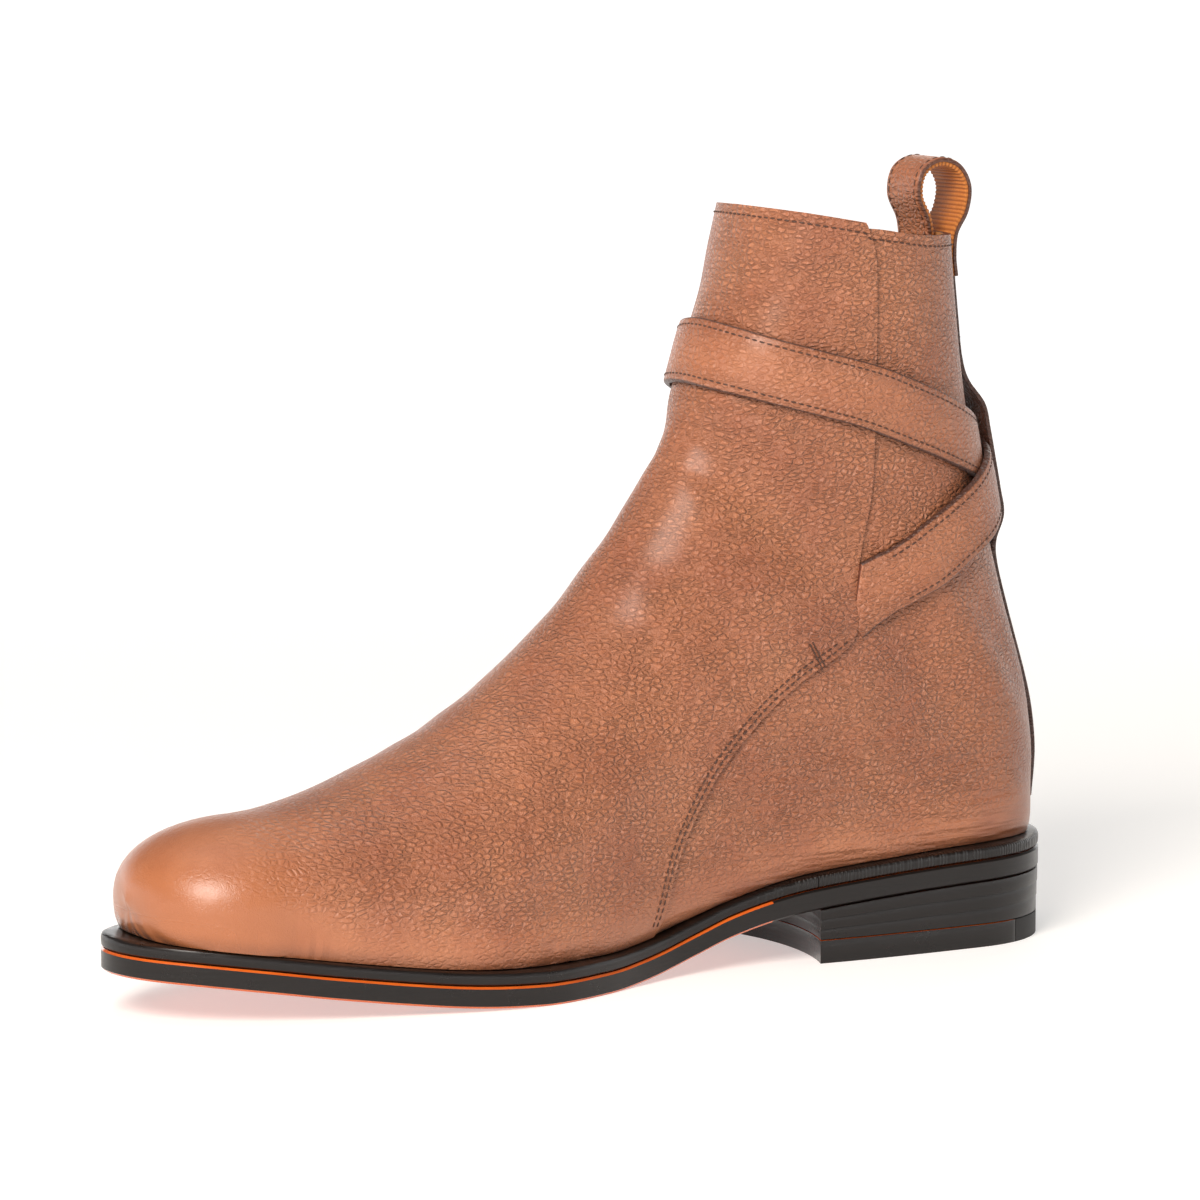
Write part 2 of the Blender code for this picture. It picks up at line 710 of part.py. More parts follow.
# turn: degrees from the front by the lateral side; up: share of BOOT_HEIGHT; straps and vamp steps lain over;
# thickness: share of STRAP_THICKNESS
STRAP_LONG = (
    (79.0, 0.442, 0.00, 0.00, 0.40),
    (92.0, 0.458, 0.00, 0.00, 1.00),
    (108.0, 0.478, 0.00, 0.00, 1.00),
    (122.0, 0.500, 0.00, 0.00, 1.00),
    (137.0, 0.540, 0.00, 0.00, 1.00),
    (151.0, 0.582, 0.00, 0.00, 1.00),
    (165.0, 0.617, 0.00, 0.00, 1.00),
    (180.0, 0.638, 0.00, 0.00, 1.00),
    (195.0, 0.657, 0.00, 0.00, 1.00),
    (210.0, 0.682, 0.06, 0.00, 1.00),
    (228.0, 0.712, 0.08, 0.00, 1.00),
    (248.0, 0.738, 0.08, 0.70, 1.00),
    (264.0, 0.754, 0.05, 1.05, 1.00),
    (284.0, 0.768, 0.05, 1.05, 1.00),
    (308.0, 0.783, 0.05, 1.05, 1.00),
    (335.0, 0.798, 0.05, 1.05, 1.00),
    (360.0, 0.805, 0.05, 1.05, 1.00),
    (384.0, 0.798, 0.05, 1.05, 1.00),
    (406.0, 0.782, 0.05, 1.05, 1.00),
    (424.0, 0.768, 0.08, 1.10, 1.00),
    (436.0, 0.762, 0.30, 1.10, 1.00),
    (448.0, 0.759, 1.00, 0.60, 1.00),
    (460.0, 0.757, 1.35, 0.00, 1.00),
    (472.0, 0.757, 1.28, 0.00, 1.00),
    (486.0, 0.758, 1.16, 0.00, 1.00),
    (498.0, 0.760, 1.24, 0.00, 1.00),
)
STRAP_SHORT = (
    (255.0, 0.494, 0.00, 0.00, 0.40),
    (249.0, 0.503, 0.00, 0.00, 1.00),
    (244.0, 0.510, 0.00, 0.00, 1.00),
    (228.0, 0.542, 0.02, 0.00, 1.00),
    (212.0, 0.582, 0.90, 0.00, 1.00),
    (196.0, 0.617, 1.12, 0.00, 1.00),
    (180.0, 0.638, 1.12, 0.00, 1.00),
    (164.0, 0.660, 1.12, 0.00, 1.00),
    (148.0, 0.690, 0.90, 0.00, 1.00),
    (134.0, 0.718, 0.02, 0.00, 1.00),
    (121.0, 0.741, 0.00, 0.00, 1.00),
    (111.0, 0.755, 0.00, 0.00, 1.00),
)
BUCKLE_TURNS = (72.0, 102.0)
BUCKLE_UP = 0.760
BUCKLE_LIFTS = (0.0068, 0.0023)
BUCKLE_SIDE_PLAY = 0.0017
BUCKLE_DEPTH = 0.0022
# up: share of BOOT_HEIGHT; straps lain over
BACK_STRIP = (
    (0.180, 0.25),
    (0.250, 0.20),
    (0.350, 0.00),
    (0.440, 0.00),
    (0.500, 0.00),
    (0.530, 0.50),
    (0.562, 2.12),
    (0.600, 2.35),
    (0.640, 2.40),
    (0.680, 2.35),
    (0.716, 2.12),
    (0.752, 0.50),
    (0.785, 0.00),
    (0.840, 0.00),
    (0.885, 0.00),
)


def make_buckle(skin, material):
    front = skin.lifted(BUCKLE_TURNS[0], BUCKLE_UP * BOOT_HEIGHT, BUCKLE_LIFTS[0])
    hinge = skin.lifted(BUCKLE_TURNS[1], BUCKLE_UP * BOOT_HEIGHT, BUCKLE_LIFTS[1])
    middle = (front + hinge) / 2
    along = (hinge - front).normalized()
    half_length = (hinge - front).length / 2
    inside = skin.at(sum(BUCKLE_TURNS) / 2, BUCKLE_UP * BOOT_HEIGHT)
    out = (middle - inside)
    out = (out - along * out.dot(along)).normalized()
    side = along.cross(out)
    half_width_across = STRAP_WIDTH / 2 + BUCKLE_SIDE_PLAY + BUCKLE_BAR / 2
    corner = BUCKLE_CORNER
    path = []
    per_corner = 5
    for quarter, (sa, sb) in enumerate(((1, 1), (-1, 1), (-1, -1), (1, -1))):
        for k in range(per_corner):
            angle = math.pi / 2 * (quarter + k / (per_corner - 1))
            a = sa * (half_length - corner) + corner * math.cos(angle)
            b = sb * (half_width_across - corner) + corner * math.sin(angle)
            path.append((a, b, math.cos(angle), math.sin(angle)))
    bar = BUCKLE_BAR / 2
    deep = BUCKLE_DEPTH / 2
    profile = ((bar, -deep), (bar, deep * 0.3), (bar * 0.55, deep), (-bar * 0.7, deep), (-bar, deep * 0.5), (-bar, -deep))
    points = []
    for a, b, ca, cb in path:
        for reach, rise in profile:
            points.append(middle + along * (a + ca * reach) + side * (b + cb * reach) + out * rise)
    count = len(profile)
    total = len(path)
    faces = []
    for k in range(total):
        low = k * count
        high = (k + 1) % total * count
        faces += [(low + i, low + (i + 1) % count, high + (i + 1) % count, high + i) for i in range(count)]
    return new_object("buckle_frame", points, faces, material)


# out and up from the back of the collar: share of PULL_LOOP_RISE
PULL_LOOP = (
    (0.06, 0.05),
    (0.22, 0.34),
    (0.26, 0.66),
    (0.10, 0.92),
    (-0.18, 1.00),
    (-0.44, 0.86),
    (-0.50, 0.55),
    (-0.36, 0.24),
)
PULL_LOOP_OUTER_LEG = 0.012
PULL_LOOP_INNER_LEG = 0.016
PULL_LOOP_INNER_GAP = 0.0017


def make_pull_loop(skin, material):
    """Band from outside the back seam up over the collar and down its inside."""
    collar = QUARTER_MEDIAL[-1][1] * BOOT_HEIGHT
    half = PULL_LOOP_THICKNESS / 2
    outer = GAP + half
    inner = -(UPPER_WALL + PULL_LOOP_INNER_GAP + half)
    top = skin.at(180, collar)
    lean = (top - skin.at(180, collar - PULL_LOOP_INNER_LEG)) / PULL_LOOP_INNER_LEG
    line = [
        (top.x - lean.x * PULL_LOOP_OUTER_LEG + outer, collar - PULL_LOOP_OUTER_LEG),
        (top.x - lean.x * PULL_LOOP_OUTER_LEG / 2 + outer, collar - PULL_LOOP_OUTER_LEG / 2),
    ]
    line += [(top.x + outer + a * PULL_LOOP_RISE, collar + b * PULL_LOOP_RISE) for a, b in PULL_LOOP]
    line += [
        (top.x + inner, collar - PULL_LOOP_INNER_LEG * 0.1),
        (top.x - lean.x * PULL_LOOP_INNER_LEG / 2 + inner, collar - PULL_LOOP_INNER_LEG / 2),
        (top.x - lean.x * PULL_LOOP_INNER_LEG + inner, collar - PULL_LOOP_INNER_LEG),
    ]
    stations = list(range(len(line)))
    steps = 36
    across = 3
    smooth = [
        (spline(stations, column(line, 0), (len(line) - 1) * k / steps),
         spline(stations, column(line, 1), (len(line) - 1) * k / steps))
        for k in range(steps + 1)
    ]
    low = []
    high = []
    for k, (x, z) in enumerate(smooth):
        before = smooth[max(k - 1, 0)]
        after = smooth[min(k + 1, steps)]
        forward = Vector((after[0] - before[0], 0.0, after[1] - before[1])).normalized()
        across_band = Vector((forward.z, 0.0, -forward.x)) * half
        for i in range(across + 1):
            y = PULL_LOOP_WIDTH * (i / across - 0.5)
            centre = Vector((x, y, z))
            low.append(centre - across_band)
            high.append(centre + across_band)
    return plate("pull_loop", low, high, steps, across, material)


def make_straps(leather, webbing, brass):
    skin = Skin()
    ribbon("strap_long", skin, lengths_of(STRAP_LONG), STRAP_WIDTH, 80, 3, leather, tip=STRAP_TIP)
    ribbon("strap_short", skin, lengths_of(STRAP_SHORT), STRAP_WIDTH, 40, 3, leather)
    strip = [
        (180.0, up * BOOT_HEIGHT, SKIN_GAP + straps * (STRAP_THICKNESS + GAP), BACK_STRIP_THICKNESS)
        for up, straps in BACK_STRIP
    ]
    ribbon("back_strip", skin, strip, BACK_STRIP_WIDTH, 40, 4, leather)
    make_buckle(skin, brass)
    make_pull_loop(skin, webbing)


def main():
    clear_scene()
    brown = finish("grained calf", (0.55, 0.22, 0.10), 0.45)
    tan = finish("insole leather", (0.62, 0.40, 0.22), 0.6)
    sole_orange = finish("sole leather", (0.60, 0.13, 0.02), 0.25)
    black = finish("black edge", (0.025, 0.02, 0.018), 0.35)
    rubber = finish("heel rubber", (0.02, 0.02, 0.02), 0.6)
    webbing = finish("ribbed webbing", (0.50, 0.18, 0.05), 0.7)
    brass = finish("antique brass", (0.36, 0.29, 0.14), 0.35, 1.0)
    make_upper(brown)
    make_insole(tan)
    layer("outsole", outline(0.0, 0.0, BOOT_LENGTH, SOLE_STEPS), underside, sole_top, sole_orange)
    make_welt_and_rand(black)
    make_heel(sole_orange, black, rubber)
    make_straps(brown, webbing, brass)


main()
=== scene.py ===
# Jodhpur boot for the right foot, standing empty on its sole. Metres, toe towards -X, medial side towards -Y.
import math

import bmesh
import bpy
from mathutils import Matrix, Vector
from mathutils.bvhtree import BVHTree


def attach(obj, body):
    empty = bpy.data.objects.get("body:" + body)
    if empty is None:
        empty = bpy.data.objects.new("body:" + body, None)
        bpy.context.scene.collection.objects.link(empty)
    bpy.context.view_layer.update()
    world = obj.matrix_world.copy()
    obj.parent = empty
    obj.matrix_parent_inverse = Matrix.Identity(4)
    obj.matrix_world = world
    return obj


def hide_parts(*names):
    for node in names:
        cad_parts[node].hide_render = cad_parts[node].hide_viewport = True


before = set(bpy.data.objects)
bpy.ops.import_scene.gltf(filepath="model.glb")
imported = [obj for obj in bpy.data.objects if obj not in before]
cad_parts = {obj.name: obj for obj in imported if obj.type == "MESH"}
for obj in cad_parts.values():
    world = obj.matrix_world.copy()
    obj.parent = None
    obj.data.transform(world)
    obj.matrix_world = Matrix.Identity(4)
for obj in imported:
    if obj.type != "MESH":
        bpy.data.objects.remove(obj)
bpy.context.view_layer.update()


# Studio
# A long lens stands where the photograph was taken from, low and in front of the medial side.
# The floor is a pale sweep, and large soft boxes light the boot from above and from the toe's side.
VIEW_TURN = math.radians(-33.0)
VIEW_RISE = math.radians(6.91)
VIEW_DISTANCE = 1.8
VIEW_ASIDE = 0.1025
VIEW_ABOVE = 0.0708
BOOT_MIDDLE = Vector((-0.1045, 0.0, 0.060))
AIM = Vector((-0.1010, 0.0, 0.1075))
LENS = 186.0


def linear(colour):
    """Linear colour from an sRGB hex value."""
    channels = [int(colour[i:i + 2], 16) / 255 for i in (0, 2, 4)]
    return (*[c / 12.92 if c <= 0.04045 else ((c + 0.055) / 1.055) ** 2.4 for c in channels], 1.0)


def finish(name, **constants):
    """A material, its tree and its shader, with constants set on the shader's own sockets."""
    material = bpy.data.materials.new(name)
    material.use_nodes = True
    shader = material.node_tree.nodes["Principled BSDF"]
    for key, value in constants.items():
        shader.inputs[key.replace("_", " ")].default_value = value
    return material, material.node_tree, shader


def add(tree, kind, inputs=None, **settings):
    """Adds a node, sets it up, and feeds its inputs with values, sockets or other nodes' first outputs."""
    node = tree.nodes.new(kind)
    for key, value in settings.items():
        setattr(node, key, value)
    for key, value in (inputs or {}).items():
        if isinstance(value, bpy.types.Node):
            value = value.outputs[0]
        if isinstance(value, bpy.types.NodeSocket):
            tree.links.new(value, node.inputs[key])
        else:
            node.inputs[key].default_value = value
    return node


def soft_box(name, place, size, power, colour):
    lamp = bpy.data.lights.new(name, "AREA")
    lamp.shape = "DISK"
    lamp.size = size
    lamp.energy = power
    lamp.color = linear(colour)[:3]
    item = bpy.data.objects.new(name, lamp)
    item.location = place
    item.rotation_euler = (AIM - Vector(place)).to_track_quat("-Z", "Y").to_euler()
    bpy.context.scene.collection.objects.link(item)


view_back = Vector((
    math.sin(VIEW_TURN) * math.cos(VIEW_RISE),
    -math.cos(VIEW_TURN) * math.cos(VIEW_RISE),
    math.sin(VIEW_RISE),
))
view_right = Vector((math.cos(VIEW_TURN), math.sin(VIEW_TURN), 0.0))
view_up = view_back.cross(view_right)
lens = bpy.data.cameras.new("camera")
lens.lens = LENS
lens.sensor_width = 36.0
lens.clip_end = 60.0
camera = bpy.data.objects.new("camera", lens)
camera.location = BOOT_MIDDLE + view_back * VIEW_DISTANCE + view_right * VIEW_ASIDE + view_up * VIEW_ABOVE
camera.rotation_euler = (AIM - camera.location).to_track_quat("-Z", "Y").to_euler()
bpy.context.scene.collection.objects.link(camera)
bpy.context.scene.camera = camera

soft_box("key_box", (-1.28, -0.95, 1.18), 0.90, 42.0, "FFF8F1")
soft_box("top_box", (-0.20, 0.25, 1.55), 1.2, 4.0, "FFFFFF")
soft_box("rim_box", (0.85, 0.95, 0.85), 0.8, 3.5, "FFF7EE")

sky = bpy.data.worlds.new("studio")
sky.use_nodes = True
sky.node_tree.nodes["Background"].inputs["Color"].default_value = linear("FFFDFA")
sky.node_tree.nodes["Background"].inputs["Strength"].default_value = 0.15
bpy.context.scene.world = sky
bpy.context.scene.view_settings.view_transform = "Standard"

# Paper: matt, and lit from within away from the boot, so that it stays white to the horizon.
floor_white, tree, shader = finish(
    "studio paper", Base_Color=linear("D8D5D1"), Roughness=0.75, Specular_IOR_Level=0.1,
    Emission_Color=linear("FFFFFF"),
)
place_in = add(tree, "ShaderNodeTexCoord").outputs["Object"]
reach = add(tree, "ShaderNodeVectorMath", {0: place_in}, operation="LENGTH").outputs["Value"]
glow = add(
    tree, "ShaderNodeMapRange", {"Value": reach, 1: 0.35, 2: 1.9, 3: 0.46, 4: 0.92},
    interpolation_type="SMOOTHSTEP",
)
tree.links.new(glow.outputs[0], shader.inputs["Emission Strength"])
floor_mesh = bpy.data.meshes.new("floor")
FLOOR_REACH = 14.0
floor_mesh.from_pydata(
    [(-FLOOR_REACH, -FLOOR_REACH, 0.0), (FLOOR_REACH, -FLOOR_REACH, 0.0),
     (FLOOR_REACH, FLOOR_REACH, 0.0), (-FLOOR_REACH, FLOOR_REACH, 0.0)], [], [(0, 1, 2, 3)]
)
floor_mesh.materials.append(floor_white)
floor = bpy.data.objects.new("floor", floor_mesh)
bpy.context.scene.collection.objects.link(floor)

# A low white wall far round the floor keeps the horizon plain.
wall_white, _, _ = finish(
    "studio wall", Base_Color=linear("FFFFFF"), Roughness=1.0, Emission_Color=linear("FFFFFF"),
    Emission_Strength=1.0,
)
WALL_RADIUS = 13.0
WALL_HEIGHT = 2.6
WALL_SIDES = 64
wall_turns = [2 * math.pi * i / WALL_SIDES for i in range(WALL_SIDES)]
wall_ring = [(WALL_RADIUS * math.cos(t), WALL_RADIUS * math.sin(t)) for t in wall_turns]
wall_mesh = bpy.data.meshes.new("wall")
wall_mesh.from_pydata(
    [(x, y, z) for z in (0.0, WALL_HEIGHT) for x, y in wall_ring], [],
    [(i, WALL_SIDES + i, WALL_SIDES + (i + 1) % WALL_SIDES, (i + 1) % WALL_SIDES) for i in range(WALL_SIDES)],
)
wall_mesh.materials.append(wall_white)
wall = bpy.data.objects.new("wall", wall_mesh)
bpy.context.scene.collection.objects.link(wall)


# Outsole
# One bend of oak-bark leather, burnished glossy orange below and inked black on its edge, with a thin
# bare bevel under the edge and a stitch channel 6.5 mm inside it that runs from breast to breast.
BOOT_LENGTH = 0.305
BALL_WIDTH = 0.102
BOOT_HEIGHT = 0.221
HEEL_LENGTH = 0.091
HEEL_SEAT_HEIGHT = 0.0205
TOE_SPRING = 0.0128
OUTSOLE_THICKNESS = 0.0062
GAP = 0.0003
EDGE_BEVEL = 0.0006
CHANNEL_INSET = 0.0065
CHANNEL_WIDTH = 0.0009
CHANNEL_DEPTH = 0.0005
INKED_BEVEL = 0.104
SOLE_STEPS = 150

# along: share of BOOT_LENGTH from the heel back; up: share of HEEL_SEAT_HEIGHT
SEAT_LINE = (
    (0.000, 1.000),
    (0.100, 0.975),
    (0.200, 0.910),
    (0.298, 0.785),
    (0.345, 0.660),
    (0.390, 0.480),
    (0.430, 0.280),
    (0.470, 0.115),
    (0.510, 0.025),
    (0.540, 0.000),
    (0.620, 0.000),
)
# along: share of BOOT_LENGTH; up: share of TOE_SPRING
TOE_LINE = (
    (0.620, 0.000),
    (0.690, 0.085),
    (0.750, 0.235),
    (0.820, 0.470),
    (0.890, 0.720),
    (0.950, 0.900),
    (1.000, 1.000),
)
# along: share of BOOT_LENGTH; medial, lateral: share of BALL_WIDTH from the middle line
SOLE_OUTLINE = (
    (0.000, 0.325, 0.325),
    (0.150, 0.332, 0.332),
    (0.240, 0.326, 0.328),
    (0.300, 0.312, 0.332),
    (0.350, 0.293, 0.366),
    (0.400, 0.283, 0.413),
    (0.450, 0.296, 0.462),
    (0.500, 0.340, 0.497),
    (0.550, 0.402, 0.517),
    (0.600, 0.450, 0.523),
    (0.650, 0.462, 0.514),
    (0.700, 0.444, 0.488),
    (0.760, 0.409, 0.447),
    (0.830, 0.373, 0.400),
    (0.900, 0.345, 0.352),
    (1.000, 0.330, 0.315),
)
TOE_ROUND = 0.190
HEEL_ROUND = 0.118
TOE_POWER = 2.2
HEEL_POWER = 2.3


def spline(stations, values, at):
    """Smooth curve through the values, read at one place."""
    last = len(stations) - 1
    at = min(max(at, stations[0]), stations[-1])
    i = 0
    while i < last - 1 and at > stations[i + 1]:
        i += 1
    span = stations[i + 1] - stations[i]

    def slope(k):
        low = max(k - 1, 0)
        high = min(k + 1, last)
        return (values[high] - values[low]) / (stations[high] - stations[low])

    t = (at - stations[i]) / span
    a = (2 * t**3 - 3 * t**2 + 1) * values[i]
    b = (t**3 - 2 * t**2 + t) * span * slope(i)
    c = (3 * t**2 - 2 * t**3) * values[i + 1]
    d = (t**3 - t**2) * span * slope(i + 1)
    return a + b + c + d


def column(table, index):
    return [row[index] for row in table]


def read_evenly(table, steps):
    """Rows at even places on a smooth curve through a table's rows."""
    stations = list(range(len(table)))
    return [
        tuple(spline(stations, column(table, c), (len(table) - 1) * k / steps) for c in range(len(table[0])))
        for k in range(steps + 1)
    ]


def place(along, across, up):
    """A point of the boot: along from the heel's back, across towards the lateral side, and up."""
    return Vector((HEEL_LENGTH / 2 - along, across, up))


def underside(along):
    """Height of the outsole's lower face."""
    share = along / BOOT_LENGTH
    if share <= TOE_LINE[0][0]:
        return HEEL_SEAT_HEIGHT * max(0.0, spline(column(SEAT_LINE, 0), column(SEAT_LINE, 1), share))
    return TOE_SPRING * max(0.0, spline(column(TOE_LINE, 0), column(TOE_LINE, 1), share))


def half_width(along, side, inset=0.0):
    """Half width of the sole's outline, side -1 medial and 1 lateral, moved in by inset."""
    length = BOOT_LENGTH - inset
    share = along / BOOT_LENGTH
    widths = column(SOLE_OUTLINE, 1 if side < 0 else 2)
    value = BALL_WIDTH * spline(column(SOLE_OUTLINE, 0), widths, share) - inset
    toe = BOOT_LENGTH * (1 - TOE_ROUND)
    heel = BOOT_LENGTH * HEEL_ROUND
    if along > toe:
        value *= math.sqrt(max(0.0, 1 - ((along - toe) / (length - toe)) ** TOE_POWER))
    if along < heel:
        value *= math.sqrt(max(0.0, 1 - ((heel - along) / (heel - inset)) ** HEEL_POWER))
    return value


def outline(inset, start, stop, steps):
    """Points (along, across) round the outline: forward on the medial side, back on the lateral side."""
    first = max(start, inset)
    last = min(stop, BOOT_LENGTH - inset)
    places = [first + (last - first) * (1 - math.cos(math.pi * i / steps)) / 2 for i in range(steps + 1)]
    medial = [(a, -half_width(a, -1, inset)) for a in places]
    lateral = [(a, half_width(a, 1, inset)) for a in places]
    return medial + lateral[::-1]


def smooth_shaded(mesh, sharp):
    """Smooth shading that breaks at edges sharper than an angle in degrees."""
    mesh.shade_smooth()
    mesh.set_sharp_from_angle(angle=math.radians(sharp))


def new_piece(name, points, faces, materials, sharp=35.0):
    """A smooth-shaded mesh object with its faces outwards and its coincident points joined."""
    mesh = bpy.data.meshes.new(name)
    mesh.from_pydata([tuple(p) for p in points], [], faces)
    shape = bmesh.new()
    shape.from_mesh(mesh)
    bmesh.ops.remove_doubles(shape, verts=shape.verts, dist=1e-6)
    bmesh.ops.dissolve_degenerate(shape, edges=shape.edges, dist=1e-7)
    bmesh.ops.recalc_face_normals(shape, faces=shape.faces)
    shape.to_mesh(mesh)
    shape.free()
    for material in materials:
        mesh.materials.append(material)
    smooth_shaded(mesh, sharp)
    item = bpy.data.objects.new(name, mesh)
    bpy.context.scene.collection.objects.link(item)
    return item


def tube_faces(rows, count, base=0, closed=False):
    """Faces from each row of count points to the next one, and from the last to the first where closed."""
    faces = []
    for k in range(rows if closed else rows - 1):
        low = base + k * count
        high = base + (k + 1) % rows * count
        faces += [(low + i, low + (i + 1) % count, high + (i + 1) % count, high + i) for i in range(count)]
    return faces


def solid_faces(rows, count, base=0):
    """Faces of a tube with a cover on its first and its last row."""
    last = base + (rows - 1) * count
    covers = [tuple(range(start, start + count)) for start in (base, last)]
    return tube_faces(rows, count, base) + covers


def stacked_rings(name, rings, materials):
    """Closed solid through rings of equal length, each a list of points; the first and last are covered."""
    count = len(rings[0])
    points = [p for ring in rings for p in ring]
    faces = tube_faces(len(rings), count)
    for base in (0, (len(rings) - 1) * count):
        for i in range(count // 2 - 1):
            j = count - 1 - i
            faces.append((base + i, base + i + 1, base + j - 1, base + j))
    return new_piece(name, points, faces, materials)


def store(piece, name, values):
    """Keeps one number for each point of the mesh, for the material to read."""
    attribute = piece.data.attributes.new(name, "FLOAT", "POINT")
    attribute.data.foreach_set("value", [float(v) for v in values])


def belongs(piece, slot, *nodes):
    """The piece rides on the boot and stands for these CAD nodes; slot is not used."""
    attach(piece, "root")
    if nodes:
        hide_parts(*nodes)


def rim_distance(point):
    """How far inside the sole's outline a point lies, measured across, or along where it is nearer."""
    along = HEEL_LENGTH / 2 - point.x
    side = -1 if point.y < 0 else 1
    across = half_width(along, side) - abs(point.y)
    return max(0.0, min(across, along, BOOT_LENGTH - along))


# Sole leather: fine pores and darker streaks along the grain under a hard, glossy burnish.
sole_leather, tree, shader = finish(
    "burnished sole leather", Roughness=0.2, Coat_Weight=0.55, Coat_Roughness=0.12, Specular_IOR_Level=0.5
)
place_in = add(tree, "ShaderNodeTexCoord").outputs["Object"]
streaks = add(tree, "ShaderNodeMapping", {"Vector": place_in, "Scale": (9.0, 60.0, 9.0)}).outputs[0]
clouds = add(tree, "ShaderNodeTexNoise", {"Vector": place_in, "Scale": 26.0, "Detail": 4.0, "Roughness": 0.6})
grain = add(tree, "ShaderNodeTexNoise", {"Vector": streaks, "Scale": 3.0, "Detail": 6.0, "Roughness": 0.65})
body = add(tree, "ShaderNodeMix", {0: clouds, 6: linear("B8430C"), 7: linear("D8691F")}, data_type="RGBA")
fibre = add(tree, "ShaderNodeMapRange", {"Value": grain, 1: 0.42, 2: 0.68, 3: 0.0, 4: 0.45})
aged = add(
    tree, "ShaderNodeMix", {0: fibre, 6: body.outputs[2], 7: linear("9A3608")}, data_type="RGBA"
)
channel = add(tree, "ShaderNodeAttribute", attribute_name="channel").outputs["Fac"]
marked = add(tree, "ShaderNodeMix", {0: channel, 6: aged.outputs[2], 7: linear("54401F")}, data_type="RGBA")
tree.links.new(marked.outputs[2], shader.inputs["Base Color"])
pores = add(tree, "ShaderNodeTexNoise", {"Vector": place_in, "Scale": 900.0, "Detail": 3.0})
relief = add(tree, "ShaderNodeBump", {"Height": pores, "Strength": 0.12, "Distance": 0.0002})
tree.links.new(relief.outputs[0], shader.inputs["Normal"])

# Edge ink: black wax polished over trimmed leather, with faint lines where the layers meet.
edge_ink, tree, shader = finish(
    "black edge ink", Coat_Weight=0.16, Coat_Roughness=0.12, Specular_IOR_Level=0.30
)
place_in = add(tree, "ShaderNodeTexCoord").outputs["Object"]
layers = add(tree, "ShaderNodeMapping", {"Vector": place_in, "Scale": (14.0, 14.0, 620.0)}).outputs[0]
lines = add(tree, "ShaderNodeTexNoise", {"Vector": layers, "Scale": 1.0, "Detail": 4.0, "Roughness": 0.6})
wear = add(tree, "ShaderNodeTexNoise", {"Vector": place_in, "Scale": 70.0, "Detail": 5.0, "Roughness": 0.7})
tint = add(
    tree, "ShaderNodeMix", {0: lines, 6: linear("0B0706"), 7: linear("18110E")}, data_type="RGBA"
)
tree.links.new(tint.outputs[2], shader.inputs["Base Color"])
gloss = add(tree, "ShaderNodeMapRange", {"Value": wear, 1: 0.3, 2: 0.7, 3: 0.24, 4: 0.42})
tree.links.new(gloss.outputs[0], shader.inputs["Roughness"])
ticks = add(tree, "ShaderNodeAttribute", attribute_name="ticks").outputs["Fac"]
height = add(tree, "ShaderNodeMath", {0: lines, 1: ticks}, operation="ADD")
relief = add(tree, "ShaderNodeBump", {"Height": height, "Strength": 0.55, "Distance": 0.00022})
tree.links.new(relief.outputs[0], shader.inputs["Normal"])


def make_outsole():
    """Rings from the middle of the top face out to the edge, down it, and in across the wearing face."""
    reach = CHANNEL_WIDTH / 2
    # inset, depth below the top as a share of the thickness, extra height
    profile = (
        (0.014, 0.0, 0.0),
        (0.0006, 0.0, 0.0),
        (0.0, 0.10, 0.0),
        (0.0, 0.50, 0.0),
        (0.0, 0.90, 0.0),
        (EDGE_BEVEL, 1.0, 0.0),
        (0.0030, 1.0, 0.0),
        (CHANNEL_INSET - 2 * reach, 1.0, 0.0),
        (CHANNEL_INSET - reach, 1.0, CHANNEL_DEPTH),
        (CHANNEL_INSET + reach, 1.0, CHANNEL_DEPTH),
        (CHANNEL_INSET + 2 * reach, 1.0, 0.0),
        (0.012, 1.0, 0.0),
        (0.018, 1.0, 0.0),
    )
    rings = []
    for inset, depth, extra in profile:
        ring = []
        for along, across in outline(inset, 0.0, BOOT_LENGTH, SOLE_STEPS):
            lift = extra if along > HEEL_LENGTH - 0.004 else 0.0
            ring.append(place(along, across, underside(along) + OUTSOLE_THICKNESS * (1 - depth) + lift))
        rings.append(ring)
    sole = stacked_rings("outsole_finished", rings, [sole_leather, edge_ink])
    marks = []
    for vertex in sole.data.vertices:
        along = HEEL_LENGTH / 2 - vertex.co.x
        off = vertex.co.z - underside(along)
        near = abs(rim_distance(vertex.co) - CHANNEL_INSET) < reach * 1.6
        marks.append(1.0 if off < 0.0015 and near and along > HEEL_LENGTH - 0.004 else 0.0)
    store(sole, "channel", marks)
    for face in sole.data.polygons:
        along = HEEL_LENGTH / 2 - face.center.x
        inked = abs(face.normal.z) < (0.9 if along < INKED_BEVEL else 0.45)
        if inked and rim_distance(face.center) < 0.004:
            face.material_index = 1
    belongs(sole, "sole_leather", "outsole")


make_outsole()


# Welt and heel rand
# A strip of black leather lies between the sole and the upper, sewn in at the forefoot and waist, and it
# carries on round the heel seat. A fudge wheel has pressed fine upright marks into the seat's edge.
WELT_THICKNESS = 0.0038
WELT_WIDTH = 0.0125
EDGE_ROUND = 0.0007
TICK_PITCH = 0.00125
TICKS_UNTIL = 0.112


def edge_marks(piece, stop):
    """Upright wheel marks on the strip's edge, as a wave of the place along the boot, up to one place."""
    marks = []
    for vertex in piece.data.vertices:
        along = HEEL_LENGTH / 2 - vertex.co.x
        run = math.atan2(vertex.co.y, vertex.co.x) * HEEL_LENGTH / 2 if along < HEEL_LENGTH / 2 else along
        wave = 0.5 + 0.5 * math.cos(2 * math.pi * run / TICK_PITCH)
        marks.append(-2.4 * wave if along < stop and rim_distance(vertex.co) < 0.0012 else 0.0)
    store(piece, "ticks", marks)


